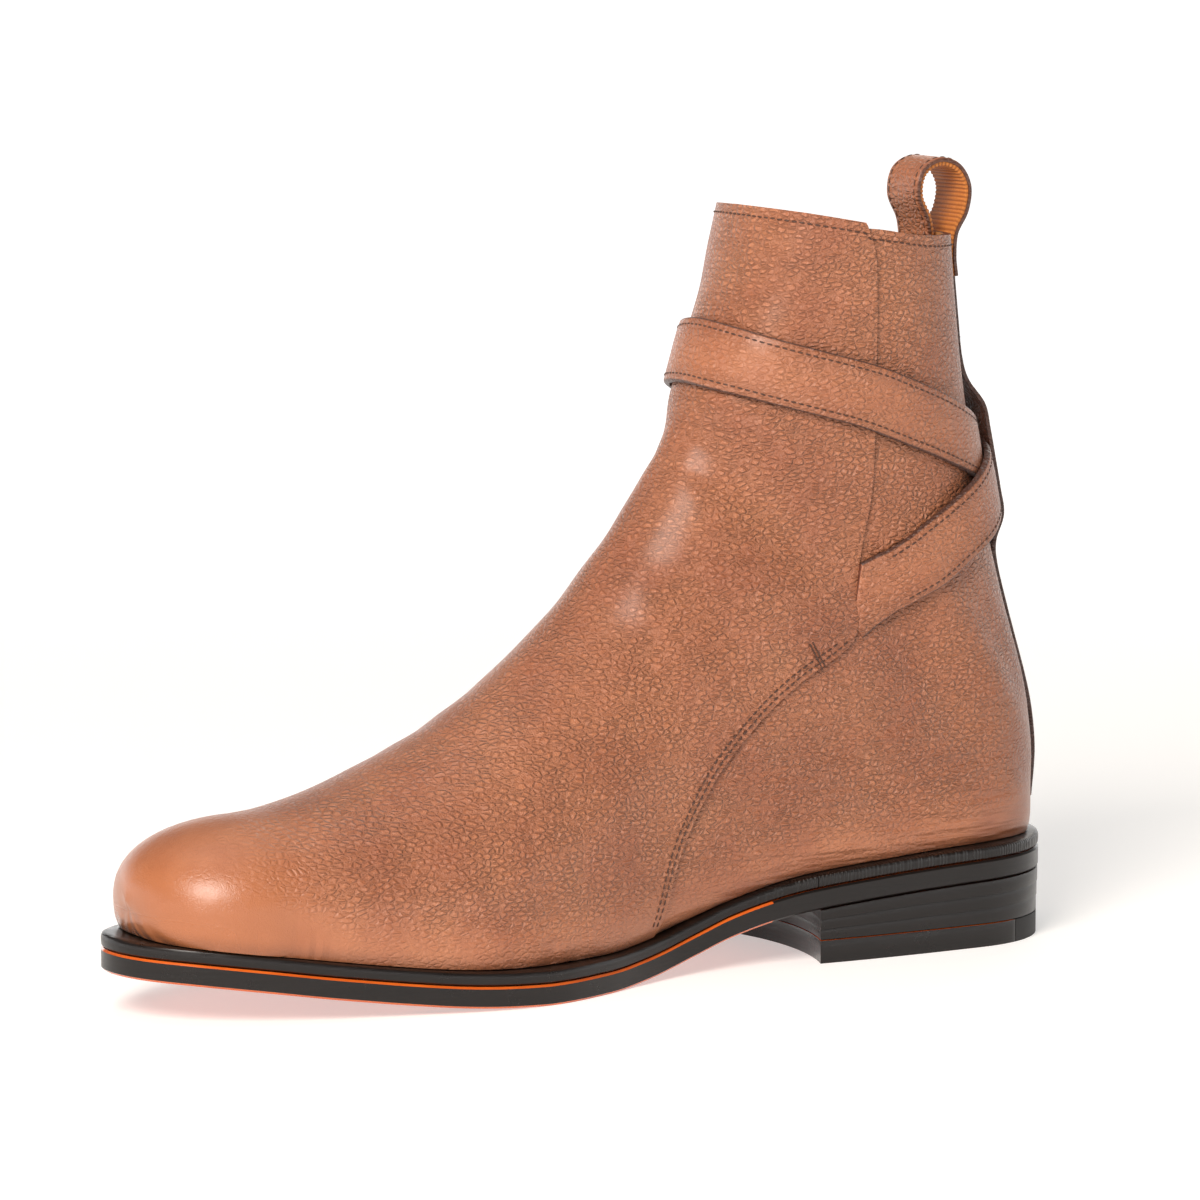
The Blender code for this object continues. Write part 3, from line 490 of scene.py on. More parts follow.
def make_strip(name, start, stop, steps, node):
    """Half-round edged strip between the sole's top and the upper, over one stretch of the boot."""
    # inset, share of the thickness
    profile = (
        (WELT_WIDTH, 0.0),
        (EDGE_ROUND, 0.0),
        (0.0001, 0.12),
        (0.0, 0.35),
        (0.0, 0.70),
        (0.0003, 0.90),
        (0.0011, 1.0),
        (0.0038, 1.0),
        (WELT_WIDTH, 0.94),
    )
    count = len(profile)
    places = [start + (stop - start) * (1 - math.cos(math.pi * i / steps)) / 2 for i in range(steps + 1)]
    medial = [(a, -1) for a in places]
    lateral = [(a, 1) for a in reversed(places)]
    route = medial + lateral if start > 0.0 else lateral + medial
    points = []
    for along, side in route:
        for inset, share in profile:
            near = min(max(along, inset), BOOT_LENGTH - inset)
            wide = max(0.0, half_width(near, side, inset))
            up = underside(near) + OUTSOLE_THICKNESS + GAP + WELT_THICKNESS * share
            points.append(place(near, side * wide, up))
    piece = new_piece(name, points, solid_faces(len(route), count), [edge_ink])
    edge_marks(piece, TICKS_UNTIL)
    belongs(piece, "black_edge", node)


make_strip("welt_finished", HEEL_LENGTH + GAP, BOOT_LENGTH, 220, "welt")
make_strip("heel_rand_finished", 0.0, HEEL_LENGTH, 260, "heel_rand")


# Heel
# Lifts of black-inked leather are glued and pegged into a stack with a hollow breast. The wearing face is
# orange leather with a black rubber corner at the back on the lateral side, and five trios of brass nails.
HEEL_WIDTH = 0.067
TOP_PIECE_THICKNESS = 0.0068
HEEL_TAPER = 0.0005
BREAST_HOLLOW = 0.007
RUBBER_LATERAL = 0.58
RUBBER_MEDIAL = 0.22
LIFTS = 3
LIFT_ROUND = 0.00035
LIFT_SEAM = 0.00004
HEEL_STEPS = 60
CUTTER_LOW = -0.01
CUTTER_HIGH = 0.06
NAIL_SIDES = 10
NAIL_RADIUS = 0.0011
NAIL_TRIO = 0.0052
# height and share of NAIL_RADIUS, from inside the leather to the head's crown
NAIL_HEAD = (
    (0.0006, 1.0),
    (0.00001, 1.0),
    (-0.00012, 0.7),
)
# along, across: places of the trios on the wearing face, in shares of HEEL_LENGTH and HEEL_WIDTH
NAIL_TRIOS = (
    (0.86, 0.33),
    (0.66, 0.36),
    (0.80, -0.37),
    (0.56, -0.38),
    (0.36, -0.34),
)


def settled(piece):
    """The piece with its modifiers worked into a plain mesh."""
    view = piece.evaluated_get(bpy.context.evaluated_depsgraph_get())
    mesh = bpy.data.meshes.new_from_object(view)
    piece.modifiers.clear()
    piece.data = mesh
    return piece


def combine(base, other, operation):
    """Cuts, joins or intersects base with other, which is used up; a cut takes the cutter's material."""
    step = base.modifiers.new(operation, "BOOLEAN")
    step.operation = operation
    step.solver = "EXACT"
    step.material_mode = "TRANSFER"
    step.object = other
    bpy.context.view_layer.update()
    settled(base)
    bpy.data.objects.remove(other, do_unlink=True)
    return base


def bevelled(piece, width):
    """Rounds a piece's hard edges."""
    step = piece.modifiers.new("round", "BEVEL")
    step.width = width
    step.segments = 2
    step.limit_method = "ANGLE"
    step.angle_limit = math.radians(40.0)
    step.harden_normals = False
    settled(piece)
    smooth_shaded(piece.data, 35.0)
    return piece


def prism(name, corners, low, high, material):
    """Upright prism over a ring of (along, across) corners."""
    count = len(corners)
    points = [place(a, c, low) for a, c in corners] + [place(a, c, high) for a, c in corners]
    return new_piece(name, points, solid_faces(2, count), [material])


def breast_cutter():
    """Round pillar whose side is the hollow of the breast."""
    half = HEEL_WIDTH / 2
    radius = (half**2 + BREAST_HOLLOW**2) / (2 * BREAST_HOLLOW)
    middle = HEEL_LENGTH - BREAST_HOLLOW + radius
    turns = [2 * math.pi * i / 180 for i in range(180)]
    ring = [(middle + radius * math.cos(t), radius * math.sin(t)) for t in turns]
    return prism("breast", ring, CUTTER_LOW, CUTTER_HIGH, edge_ink)


def heel_slice(name, low, high, inset, materials):
    """One layer of the heel between two heights, each a function of the place along the boot."""
    ring = outline(inset, 0.0, HEEL_LENGTH, HEEL_STEPS)
    bottom = [place(a, c, low(a)) for a, c in ring]
    top = [place(a, c, high(a)) for a, c in ring]
    piece = stacked_rings(name, [bottom, top], materials)
    return combine(piece, breast_cutter(), "DIFFERENCE")


def rubber_side(grow):
    """The part of the wearing face behind the diagonal on which leather and rubber meet."""
    lateral = HEEL_LENGTH * RUBBER_LATERAL
    medial = HEEL_LENGTH * RUBBER_MEDIAL
    slope = (lateral - medial) / HEEL_WIDTH
    shift = grow * math.sqrt(1 + slope**2)
    reach = BALL_WIDTH
    front = [(medial + shift + slope * (c + HEEL_WIDTH / 2), c) for c in (-reach, reach)]
    corners = front + [(-reach, reach), (-reach, -reach)]
    return prism("rubber_side", corners, CUTTER_LOW, CUTTER_HIGH, heel_rubber)


# Heel rubber: moulded, matt, with a fine cast grain.
heel_rubber, tree, shader = finish(
    "moulded heel rubber", Base_Color=linear("1B1817"), Roughness=0.62, Specular_IOR_Level=0.4
)
place_in = add(tree, "ShaderNodeTexCoord").outputs["Object"]
cast = add(tree, "ShaderNodeTexNoise", {"Vector": place_in, "Scale": 1400.0, "Detail": 2.0})
relief = add(tree, "ShaderNodeBump", {"Height": cast, "Strength": 0.2, "Distance": 0.0002})
tree.links.new(relief.outputs[0], shader.inputs["Normal"])

# Brass nails: drawn wire, filed flush, slightly brown at the rims.
nail_brass, tree, shader = finish("filed brass nails", Metallic=1.0, Roughness=0.34)
place_in = add(tree, "ShaderNodeTexCoord").outputs["Object"]
filed = add(tree, "ShaderNodeTexNoise", {"Vector": place_in, "Scale": 900.0, "Detail": 3.0})
tint = add(
    tree, "ShaderNodeMix", {0: filed, 6: linear("8F6A2E"), 7: linear("D2A95A")}, data_type="RGBA"
)
tree.links.new(tint.outputs[2], shader.inputs["Base Color"])


def split_sides(piece):
    """Sole leather on the level faces of the wearing piece, edge ink on its sides."""
    for face in piece.data.polygons:
        if abs(face.normal.z) < 0.7:
            face.material_index = 1


def stack_height(share):
    """Height in the stack as a function of the place along: share 0 is its foot, 1 the heel seat."""
    foot = TOP_PIECE_THICKNESS + GAP
    return lambda along: foot + (underside(along) - GAP - foot) * share


def make_heel():
    for k in range(LIFTS):
        low = k / LIFTS
        seam = LIFT_SEAM if k else 0.0
        lift = heel_slice(
            f"heel_lift_{k + 1}",
            lambda along: stack_height(low)(along) + seam,
            stack_height((k + 1) / LIFTS),
            HEEL_TAPER * (1 - low),
            [edge_ink],
        )
        lift = bevelled(lift, LIFT_ROUND)
        if k == 0:
            belongs(lift, "black_edge", "heel_stack")
        else:
            belongs(lift, "black_edge")
    top_piece = heel_slice(
        "heel_top_piece_finished", lambda along: 0.0, lambda along: TOP_PIECE_THICKNESS, HEEL_TAPER,
        [sole_leather, edge_ink],
    )
    rubber = top_piece.copy()
    rubber.data = top_piece.data.copy()
    rubber.name = "heel_rubber_finished"
    bpy.context.scene.collection.objects.link(rubber)
    rubber.data.materials.clear()
    rubber.data.materials.append(heel_rubber)
    top_piece = combine(top_piece, rubber_side(GAP), "DIFFERENCE")
    top_piece = bevelled(top_piece, LIFT_ROUND)
    split_sides(top_piece)
    belongs(top_piece, "sole_leather", "heel_top_piece")
    rubber = combine(rubber, rubber_side(0.0), "INTERSECT")
    rubber = bevelled(rubber, LIFT_ROUND)
    for face in rubber.data.polygons:
        face.material_index = 0
    belongs(rubber, "heel_rubber", "heel_rubber")


def make_nails():
    """Low heads in trios, all in one piece, just proud of the wearing face's polish."""
    points = []
    faces = []
    for along_share, across_share in NAIL_TRIOS:
        for turn in (90.0, 210.0, 330.0):
            along = along_share * HEEL_LENGTH + NAIL_TRIO / 2 * math.cos(math.radians(turn))
            across = across_share * HEEL_WIDTH + NAIL_TRIO / 2 * math.sin(math.radians(turn))
            faces += solid_faces(len(NAIL_HEAD), NAIL_SIDES, len(points))
            for up, share in NAIL_HEAD:
                radius = NAIL_RADIUS * share
                for k in range(NAIL_SIDES):
                    angle = 2 * math.pi * k / NAIL_SIDES
                    a = along + radius * math.cos(angle)
                    points.append(place(a, across + radius * math.sin(angle), up))
    nails = new_piece("heel_nails", points, faces, [nail_brass])
    belongs(nails, "antique_brass")


make_heel()
make_nails()


# Upper
# Two pieces of pebble-grained calf, vamp and quarters, lasted over a block and drawn in under the foot.
# The vamp's raw edge overlaps the quarters; toe and heel are burnished smooth, and wear has set soft folds.
UPPER_WALL = 0.0022
VAMP_STEP = 0.0010
MIDDLE_OVERLAP = 0.002
ROUND_COUNT = 150
ROWS_PER_SECTION = 6
TOE_ROWS = 16
# points round, rows per section and rows at the toe, where the form is hidden inside
INSIDE_FINENESS = (84, 3, 8)
TOE_TIP = 0.9790
TOE_TIP_HEIGHT = 0.1500
TOE_TIP_SETBACK = 0.004
TOE_TURN_SPARE = 0.25
TOE_CREST_POWER = 0.9
TOE_WIDTH_POWER = 0.88
TOE_BOTTOM_POWER = 0.5
TOE_TIP_SQUARE = 2.2
FLAP_LOW = 0.490
FLAP_HIGH = 0.716
FLAP_RISE = 0.0024
FLAP_REACH = 0.011
FLAP_BITE = 0.0003
SKY = 1.35
FAR_FRONT = 1.10
FAR_BACK = -0.10

# front_along, back_along: share of BOOT_LENGTH; front_up: share of BOOT_HEIGHT from the floor
# back_up: share of BOOT_HEIGHT above the feather line; medial, lateral: share of BALL_WIDTH
# belly: where the section is widest, from its back end; squareness of the back end and of the crown
LAST = (
    ("front_along", "front_up", "back_along", "back_up", "medial", "lateral", "belly", "square", "crown"),
    (0.8590, 0.2400, 0.8690, -0.028, 0.316, 0.330, 0.42, 5.0, 2.05),
    (0.8200, 0.2450, 0.8330, -0.028, 0.338, 0.367, 0.40, 5.0, 2.05),
    (0.7620, 0.2640, 0.7800, -0.028, 0.372, 0.416, 0.38, 5.2, 2.00),
    (0.7020, 0.2970, 0.7200, -0.028, 0.406, 0.456, 0.35, 5.4, 1.92),
    (0.6320, 0.3460, 0.6560, -0.028, 0.424, 0.478, 0.32, 5.2, 1.84),
    (0.5520, 0.4280, 0.5640, -0.028, 0.384, 0.468, 0.31, 4.6, 1.78),
    (0.4920, 0.5170, 0.4590, -0.022, 0.336, 0.420, 0.33, 3.4, 1.82),
    (0.4570, 0.5770, 0.3440, -0.024, 0.322, 0.372, 0.36, 4.4, 1.92),
    (0.4320, 0.6240, 0.2100, -0.028, 0.322, 0.346, 0.39, 5.4, 2.00),
    (0.4200, 0.6500, 0.1150, -0.028, 0.322, 0.338, 0.42, 5.2, 2.05),
    (0.4110, 0.6720, 0.0300, -0.022, 0.320, 0.334, 0.42, 3.4, 2.06),
    (0.4055, 0.6880, 0.0115, 0.050, 0.319, 0.332, 0.42, 2.6, 2.08),
    (0.3980, 0.7080, 0.0100, 0.160, 0.316, 0.330, 0.43, 2.3, 2.10),
    (0.3890, 0.7370, 0.0420, 0.315, 0.311, 0.326, 0.45, 2.2, 2.15),
    (0.3780, 0.7750, 0.0720, 0.475, 0.308, 0.322, 0.47, 2.2, 2.20),
    (0.3640, 0.8320, 0.0920, 0.625, 0.308, 0.320, 0.48, 2.2, 2.20),
    (0.3465, 0.9050, 0.1040, 0.760, 0.311, 0.322, 0.50, 2.2, 2.20),
    (0.3260, 1.0000, 0.1120, 0.865, 0.315, 0.326, 0.50, 2.2, 2.20),
    (0.3120, 1.0800, 0.1180, 0.950, 0.317, 0.328, 0.50, 2.2, 2.20),
)
# Vamp: rear edge from the welt up its seam to the corner over the strap, then up the flap to the collar
# along: share of BOOT_LENGTH; up: share of BOOT_HEIGHT
VAMP_MEDIAL = (
    (0.480, 0.000),
    (0.472, 0.090),
    (0.460, 0.160),
    (0.440, 0.215),
    (0.415, 0.265),
    (0.385, 0.310),
    (0.352, 0.350),
    (0.318, 0.383),
    (0.262, 0.430),
    (0.256, 0.490),
    (0.248, 0.570),
    (0.240, 0.650),
    (0.238, 0.780),
    (0.238, 0.920),
    (0.248, 0.975),
)
VAMP_LATERAL = (
    (0.600, 0.000),
    (0.592, 0.080),
    (0.580, 0.150),
    (0.560, 0.205),
    (0.520, 0.250),
    (0.460, 0.290),
    (0.395, 0.330),
    (0.330, 0.380),
    (0.308, 0.420),
    (0.302, 0.500),
    (0.298, 0.580),
    (0.285, 0.660),
    (0.262, 0.760),
    (0.246, 0.860),
    (0.244, 0.930),
    (0.254, 0.960),
)
# The collar's line: front, then towards the back, each as along and up
VAMP_TOP_MEDIAL = ((0.420, 1.010), (0.345, 1.003), (0.300, 0.993), (0.250, 0.980))
VAMP_TOP_LATERAL = ((0.420, 1.010), (0.345, 1.003), (0.300, 0.992), (0.258, 0.968))
QUARTER_MEDIAL = ((0.420, 0.965), (0.300, 0.970), (0.240, 0.971), (0.170, 0.958), (0.000, 0.948))
QUARTER_LATERAL = ((0.420, 0.922), (0.300, 0.924), (0.220, 0.930), (0.150, 0.940), (0.000, 0.948))

# Folds set by wear, from one place to another in shares of BOOT_LENGTH and BOOT_HEIGHT, side -1 medial,
# 1 lateral, 0 both; depth below zero is a trough, above zero a ridge; depth and width in metres
FOLDS = (
    ("along", "up", "to_along", "to_up", "side", "depth", "width"),
    (0.250, 0.520, 0.120, 0.270, -1, -0.0019, 0.0080),
    (0.200, 0.560, 0.080, 0.330, -1, 0.0009, 0.0065),
    (0.320, 0.300, 0.180, 0.180, -1, -0.0016, 0.0055),
    (0.355, 0.255, 0.230, 0.150, -1, 0.0009, 0.0045),
    (0.200, 0.250, 0.080, 0.170, -1, -0.0010, 0.0045),
    (0.100, 0.440, 0.030, 0.300, -1, -0.0010, 0.0050),
    (0.240, 0.420, 0.130, 0.270, 1, -0.0018, 0.0075),
    (0.330, 0.300, 0.190, 0.180, 1, -0.0014, 0.0055),
    (0.640, 0.290, 0.610, 0.130, 0, -0.0010, 0.0050),
    (0.685, 0.260, 0.655, 0.120, 0, -0.0008, 0.0045),
    (0.590, 0.330, 0.560, 0.150, 0, -0.0010, 0.0055),
    (0.500, 0.480, 0.430, 0.300, 0, -0.0013, 0.0090),
    (0.455, 0.560, 0.380, 0.400, 0, -0.0012, 0.0080),
    (0.400, 0.690, 0.300, 0.560, 0, -0.0015, 0.0080),
    (0.385, 0.760, 0.290, 0.650, 0, 0.0007, 0.0060),
    (0.360, 0.880, 0.250, 0.900, 0, -0.0007, 0.0080),
)


def feather(along):
    """Height at which the upper stands on the welt."""
    return underside(along) + OUTSOLE_THICKNESS + GAP + WELT_THICKNESS + GAP


def section(row, count):
    """Closed section of the last from one row of the table."""
    front_along, front_up, back_along, back_up, medial, lateral, belly, square, crown = row
    front = place(front_along * BOOT_LENGTH, 0.0, front_up * BOOT_HEIGHT)
    along = back_along * BOOT_LENGTH
    back = place(along, 0.0, feather(along) + back_up * BOOT_HEIGHT)
    points = []
    for i in range(count):
        turn = 2 * math.pi * i / count
        cosine = math.cos(turn)
        sine = math.sin(turn)
        power = 2 / square if cosine > 0 else 2 / crown
        width = BALL_WIDTH * (lateral if sine > 0 else medial) * abs(sine) ** power
        if cosine > 0:
            share = belly * (1 - cosine**power)
        else:
            share = belly + (1 - belly) * abs(cosine) ** power
        points.append(back.lerp(front, share) + Vector((0.0, math.copysign(width, sine), 0.0)))
    return points


def last_rows(per_section, toe_rows):
    """All sections: a rounded toe end, then the table read more finely than it is written."""
    table = LAST[1:]
    index = list(range(len(table)))
    rows = []
    first = table[0]
    start = first[0]
    for k in range(toe_rows, 0, -1):
        angle = math.pi / 2 * k / (toe_rows + TOE_TURN_SPARE)
        reach = math.sin(angle)
        shrink = math.cos(angle)
        row = list(first)
        row[0] = start + (TOE_TIP - start) * reach
        row[1] = TOE_TIP_HEIGHT + (first[1] - TOE_TIP_HEIGHT) * shrink**TOE_CREST_POWER
        row[2] = first[2] + (TOE_TIP - TOE_TIP_SETBACK - first[2]) * reach
        low = feather(row[2] * BOOT_LENGTH) / BOOT_HEIGHT
        drop = shrink**TOE_BOTTOM_POWER
        row[3] = (TOE_TIP_HEIGHT - low) * (1 - drop) + first[3] * drop
        row[4] = first[4] * shrink**TOE_WIDTH_POWER
        row[5] = first[5] * shrink**TOE_WIDTH_POWER
        row[7] = TOE_TIP_SQUARE + (first[7] - TOE_TIP_SQUARE) * shrink
        rows.append(row)
    steps = (len(table) - 1) * per_section
    for k in range(steps + 1):
        rows.append([spline(index, column(table, c), k / per_section) for c in range(len(first))])
    return rows


def fold_depth(point):
    """How far the worn-in folds move a point of the skin, along its normal."""
    along = HEEL_LENGTH / 2 - point.x
    total = 0.0
    for a0, u0, a1, u1, side, depth, width in FOLDS[1:]:
        if side and point.y * side < 0:
            continue
        start = (a0 * BOOT_LENGTH, u0 * BOOT_HEIGHT)
        run = (a1 * BOOT_LENGTH - start[0], u1 * BOOT_HEIGHT - start[1])
        off = (along - start[0], point.z - start[1])
        length = run[0] ** 2 + run[1] ** 2
        share = (off[0] * run[0] + off[1] * run[1]) / length
        if not -0.35 < share < 1.35:
            continue
        aside = abs(off[0] * run[1] - off[1] * run[0]) / math.sqrt(length)
        bow = 1 - (2 * abs(share - 0.5) / 1.7) ** 2
        total += depth * bow * math.exp(-((aside / width) ** 2))
    middle = min(1.0, abs(point.y) / 0.012)
    return total * (0.35 + 0.65 * middle)


def flap_lift(point):
    """How far the vamp's flap stands off the quarter near its free edge on the lateral side."""
    share = point.z / BOOT_HEIGHT
    if point.y < 0 or not FLAP_LOW < share < FLAP_HIGH:
        return 0.0
    free = [row for row in VAMP_LATERAL if row[1] > 0.4]
    edge = spline(column(free, 1), column(free, 0), share) * BOOT_LENGTH
    ahead = HEEL_LENGTH / 2 - point.x - edge
    window = math.sin(math.pi * (share - FLAP_LOW) / (FLAP_HIGH - FLAP_LOW)) ** 2
    return FLAP_RISE * window * math.exp(-((max(0.0, ahead) / FLAP_REACH) ** 2))


def last_form(
    name, offset, material, count=ROUND_COUNT, per_section=ROWS_PER_SECTION, toe_rows=TOE_ROWS, flap=False
):
    """The last's whole surface as a closed solid with its folds, moved out by offset and the flap's lift."""
    rings = [section(row, count) for row in last_rows(per_section, toe_rows)]
    tip = place(TOE_TIP * BOOT_LENGTH, 0.0, TOE_TIP_HEIGHT * BOOT_HEIGHT)
    points = [tip] + [p for ring in rings for p in ring]
    faces = [(0, 1 + i, 1 + (i + 1) % count) for i in range(count)]
    for r in range(len(rings) - 1):
        low = 1 + r * count
        high = low + count
        faces += [(low + i, high + i, high + (i + 1) % count, low + (i + 1) % count) for i in range(count)]
    top = 1 + (len(rings) - 1) * count
    faces.append(tuple(range(top, top + count)))
    form = new_piece(name, points, faces, [material])
    normals = [v.normal.copy() for v in form.data.vertices]
    lift = max(0.0, -offset)
    for vertex, normal in zip(form.data.vertices, normals):
        if vertex.index >= top:
            normal = normals[vertex.index - count]
            vertex.co.z += lift
        raised = flap_lift(vertex.co) if flap else 0.0
        vertex.co += normal * (offset + fold_depth(vertex.co) + raised)
    return form


def below(name, height, material):
    """Block under a height that follows the boot."""
    steps = 150
    reach = BALL_WIDTH
    past = 0.06 * BOOT_LENGTH
    points = []
    for i in range(steps + 1):
        along = -past + (BOOT_LENGTH + 2 * past) * i / steps
        top = height(min(max(along, 0.0), BOOT_LENGTH))
        points += [place(along, -reach, -reach), place(along, reach, -reach)]
        points += [place(along, reach, top), place(along, -reach, top)]
    return new_piece(name, points, solid_faces(steps + 1, 4), [material])


def softened(line, steps=6):
    """More points along a pattern line, on a smooth curve through the given ones."""
    return read_evenly(line, (len(line) - 1) * steps)


def side_prism(name, polygon, side, material):
    """Prism from just past the middle plane outwards, on one side, over a polygon of (along, up) shares."""
    flat = [(a * BOOT_LENGTH, u * BOOT_HEIGHT) for a, u in polygon]
    points = [place(a, -MIDDLE_OVERLAP * side, u) for a, u in flat]
    points += [place(a, BALL_WIDTH * side, u) for a, u in flat]
    return new_piece(name, points, solid_faces(2, len(flat)), [material])


def both_sides(name, medial, lateral, material):
    other = side_prism("other_side", lateral, 1, material)
    return combine(side_prism(name, medial, -1, material), other, "UNION")


def vamp_region(rear, top):
    """Side view of the vamp: up its rear edge, forward along the collar, and far round in front."""
    rear = softened(rear)
    collar = [p for p in reversed(top) if p[0] > rear[-1][0]]
    return rear + collar + [(FAR_FRONT, top[0][1]), (FAR_FRONT, 0.0)]


def above_region(top):
    """Side view of all that is cut away above a collar line."""
    line = softened(top)
    return [(FAR_FRONT, SKY), (FAR_FRONT, line[0][1])] + line + [(FAR_BACK, line[-1][1]), (FAR_BACK, SKY)]


def calf(name, light, dark, crease_shade, cell):
    """Pebble-grained calf: rounded pebbles a couple of millimetres wide between creases darkened with painted
    shade, finer pebbles on them, and a waxed sheen that grows where the leather is burnished."""
    material, tree, shader = finish(
        name, Coat_Weight=0.22, Coat_Roughness=0.26, Specular_IOR_Level=0.5, Sheen_Weight=0.04
    )
    place_in = add(tree, "ShaderNodeTexCoord").outputs["Object"]
    drift = add(tree, "ShaderNodeTexNoise", {"Vector": place_in, "Scale": 160.0, "Detail": 2.0})
    shift = add(
        tree, "ShaderNodeVectorMath", {0: drift.outputs["Color"], 1: (0.5, 0.5, 0.5)}, operation="SUBTRACT"
    )
    pull = add(tree, "ShaderNodeVectorMath", {0: shift, 1: (0.0016, 0.0016, 0.0016)}, operation="MULTIPLY")
    bent = add(tree, "ShaderNodeVectorMath", {0: place_in, 1: pull}, operation="ADD").outputs[0]
    stretch = add(
        tree, "ShaderNodeMapping", {"Vector": bent, "Rotation": (0.0, 0.75, 0.0), "Scale": (0.72, 0.72, 1.30)}
    ).outputs[0]
    pebbles = add(
        tree, "ShaderNodeTexVoronoi", {"Vector": stretch, "Scale": 1000.0 / cell, "Randomness": 0.85},
        feature="DISTANCE_TO_EDGE",
    )
    small = add(
        tree, "ShaderNodeTexVoronoi", {"Vector": bent, "Scale": 1000.0 / (cell * 0.45), "Randomness": 1.0},
        feature="DISTANCE_TO_EDGE",
    )
    dome = add(
        tree, "ShaderNodeMapRange", {"Value": pebbles.outputs["Distance"], 1: 0.0, 2: 0.30, 3: 0.0, 4: 1.0},
        interpolation_type="SMOOTHSTEP",
    )
    bead = add(
        tree, "ShaderNodeMapRange", {"Value": small.outputs["Distance"], 1: 0.0, 2: 0.22, 3: 0.0, 4: 1.0},
        interpolation_type="SMOOTHSTEP",
    )
    patchy = add(
        tree, "ShaderNodeTexNoise", {"Vector": place_in, "Scale": 95.0, "Detail": 3.0, "Roughness": 0.6}
    )
    depth = add(tree, "ShaderNodeMapRange", {"Value": patchy, 1: 0.34, 2: 0.66, 3: 0.60, 4: 1.0})
    grain = add(tree, "ShaderNodeAttribute", attribute_name="grain").outputs["Fac"]
    strength = add(tree, "ShaderNodeMath", {0: depth, 1: grain}, operation="MULTIPLY")
    fine = add(tree, "ShaderNodeMath", {0: bead, 1: 0.16}, operation="MULTIPLY")
    both = add(tree, "ShaderNodeMath", {0: dome, 1: fine}, operation="ADD")
    high = add(tree, "ShaderNodeMath", {0: both, 1: strength}, operation="MULTIPLY")
    pleats = add(tree, "ShaderNodeAttribute", attribute_name="pleats").outputs["Fac"]
    slanted = add(
        tree, "ShaderNodeMapping",
        {"Vector": place_in, "Rotation": (0.0, -0.55, 0.0), "Scale": (28.0, 60.0, 250.0)},
    ).outputs[0]
    waves = add(tree, "ShaderNodeTexNoise", {"Vector": slanted, "Scale": 1.0, "Detail": 2.0})
    ripple = add(tree, "ShaderNodeAttribute", attribute_name="ripple").outputs["Fac"]
    rippled = add(tree, "ShaderNodeMath", {0: waves, 1: ripple}, operation="MULTIPLY")
    drawn = add(tree, "ShaderNodeMath", {0: rippled, 1: pleats}, operation="ADD")
    raised = add(tree, "ShaderNodeMath", {0: high, 1: drawn}, operation="ADD")
    pores = add(tree, "ShaderNodeTexNoise", {"Vector": place_in, "Scale": 2600.0, "Detail": 2.0})
    pitted = add(tree, "ShaderNodeMath", {0: pores, 1: 0.16, 2: raised}, operation="MULTIPLY_ADD")
    relief = add(tree, "ShaderNodeBump", {"Height": pitted, "Strength": 1.0, "Distance": 0.00075})
    tree.links.new(relief.outputs[0], shader.inputs["Normal"])
    clouds = add(
        tree, "ShaderNodeTexNoise", {"Vector": place_in, "Scale": 48.0, "Detail": 4.0, "Roughness": 0.6}
    )
    mottle = add(tree, "ShaderNodeMapRange", {"Value": clouds, 1: 0.30, 2: 0.70, 3: 0.0, 4: 1.0})
    body = add(tree, "ShaderNodeMix", {0: mottle, 6: linear(dark), 7: linear(light)}, data_type="RGBA")
    # Painted shade: the creases between the pebbles are mixed towards a darker colour.
    sunk = add(tree, "ShaderNodeMath", {0: 1.0, 1: dome}, operation="SUBTRACT")
    crease = add(tree, "ShaderNodeMath", {0: sunk, 1: strength}, operation="MULTIPLY")
    crease_shade_share = add(tree, "ShaderNodeMath", {0: crease, 1: 0.30}, operation="MULTIPLY")
    grained = add(tree, "ShaderNodeMix", {0: crease_shade_share, 6: body.outputs[2], 7: linear(crease_shade)}, data_type="RGBA")
    burnish = add(tree, "ShaderNodeAttribute", attribute_name="burnish").outputs["Fac"]
    glow = add(
        tree, "ShaderNodeMix", {0: burnish, 6: grained.outputs[2], 7: linear("A26039")}, data_type="RGBA"
    )
    # Dark edge stain and painted shade, mixed in by a mark stored on each point.
    stain_and_shade = add(tree, "ShaderNodeAttribute", attribute_name="stain_and_shade").outputs["Fac"]
    dimmed = add(tree, "ShaderNodeMix", {0: stain_and_shade, 6: glow.outputs[2], 7: linear("4A2A1E")}, data_type="RGBA")
    tree.links.new(dimmed.outputs[2], shader.inputs["Base Color"])
    waxed = add(tree, "ShaderNodeMapRange", {"Value": burnish, 1: 0.0, 2: 1.0, 3: 0.40, 4: 0.27})
    matt = add(tree, "ShaderNodeMath", {0: crease, 1: 0.16, 2: waxed}, operation="MULTIPLY_ADD")
    tree.links.new(matt.outputs[0], shader.inputs["Roughness"])
    return material


grained_calf = calf("pebble-grained calf", "B0704C", "975839", "4C2818", 1.8)

# Cut edge: the same calf seen end-on, stained dark and waxed by hand.
raw_edge, tree, shader = finish("stained cut edge", Roughness=0.5, Specular_IOR_Level=0.4)
place_in = add(tree, "ShaderNodeTexCoord").outputs["Object"]
fibres = add(tree, "ShaderNodeTexNoise", {"Vector": place_in, "Scale": 1500.0, "Detail": 3.0})
tint = add(tree, "ShaderNodeMix", {0: fibres, 6: linear("4A2519"), 7: linear("6B3A28")}, data_type="RGBA")
tree.links.new(tint.outputs[2], shader.inputs["Base Color"])

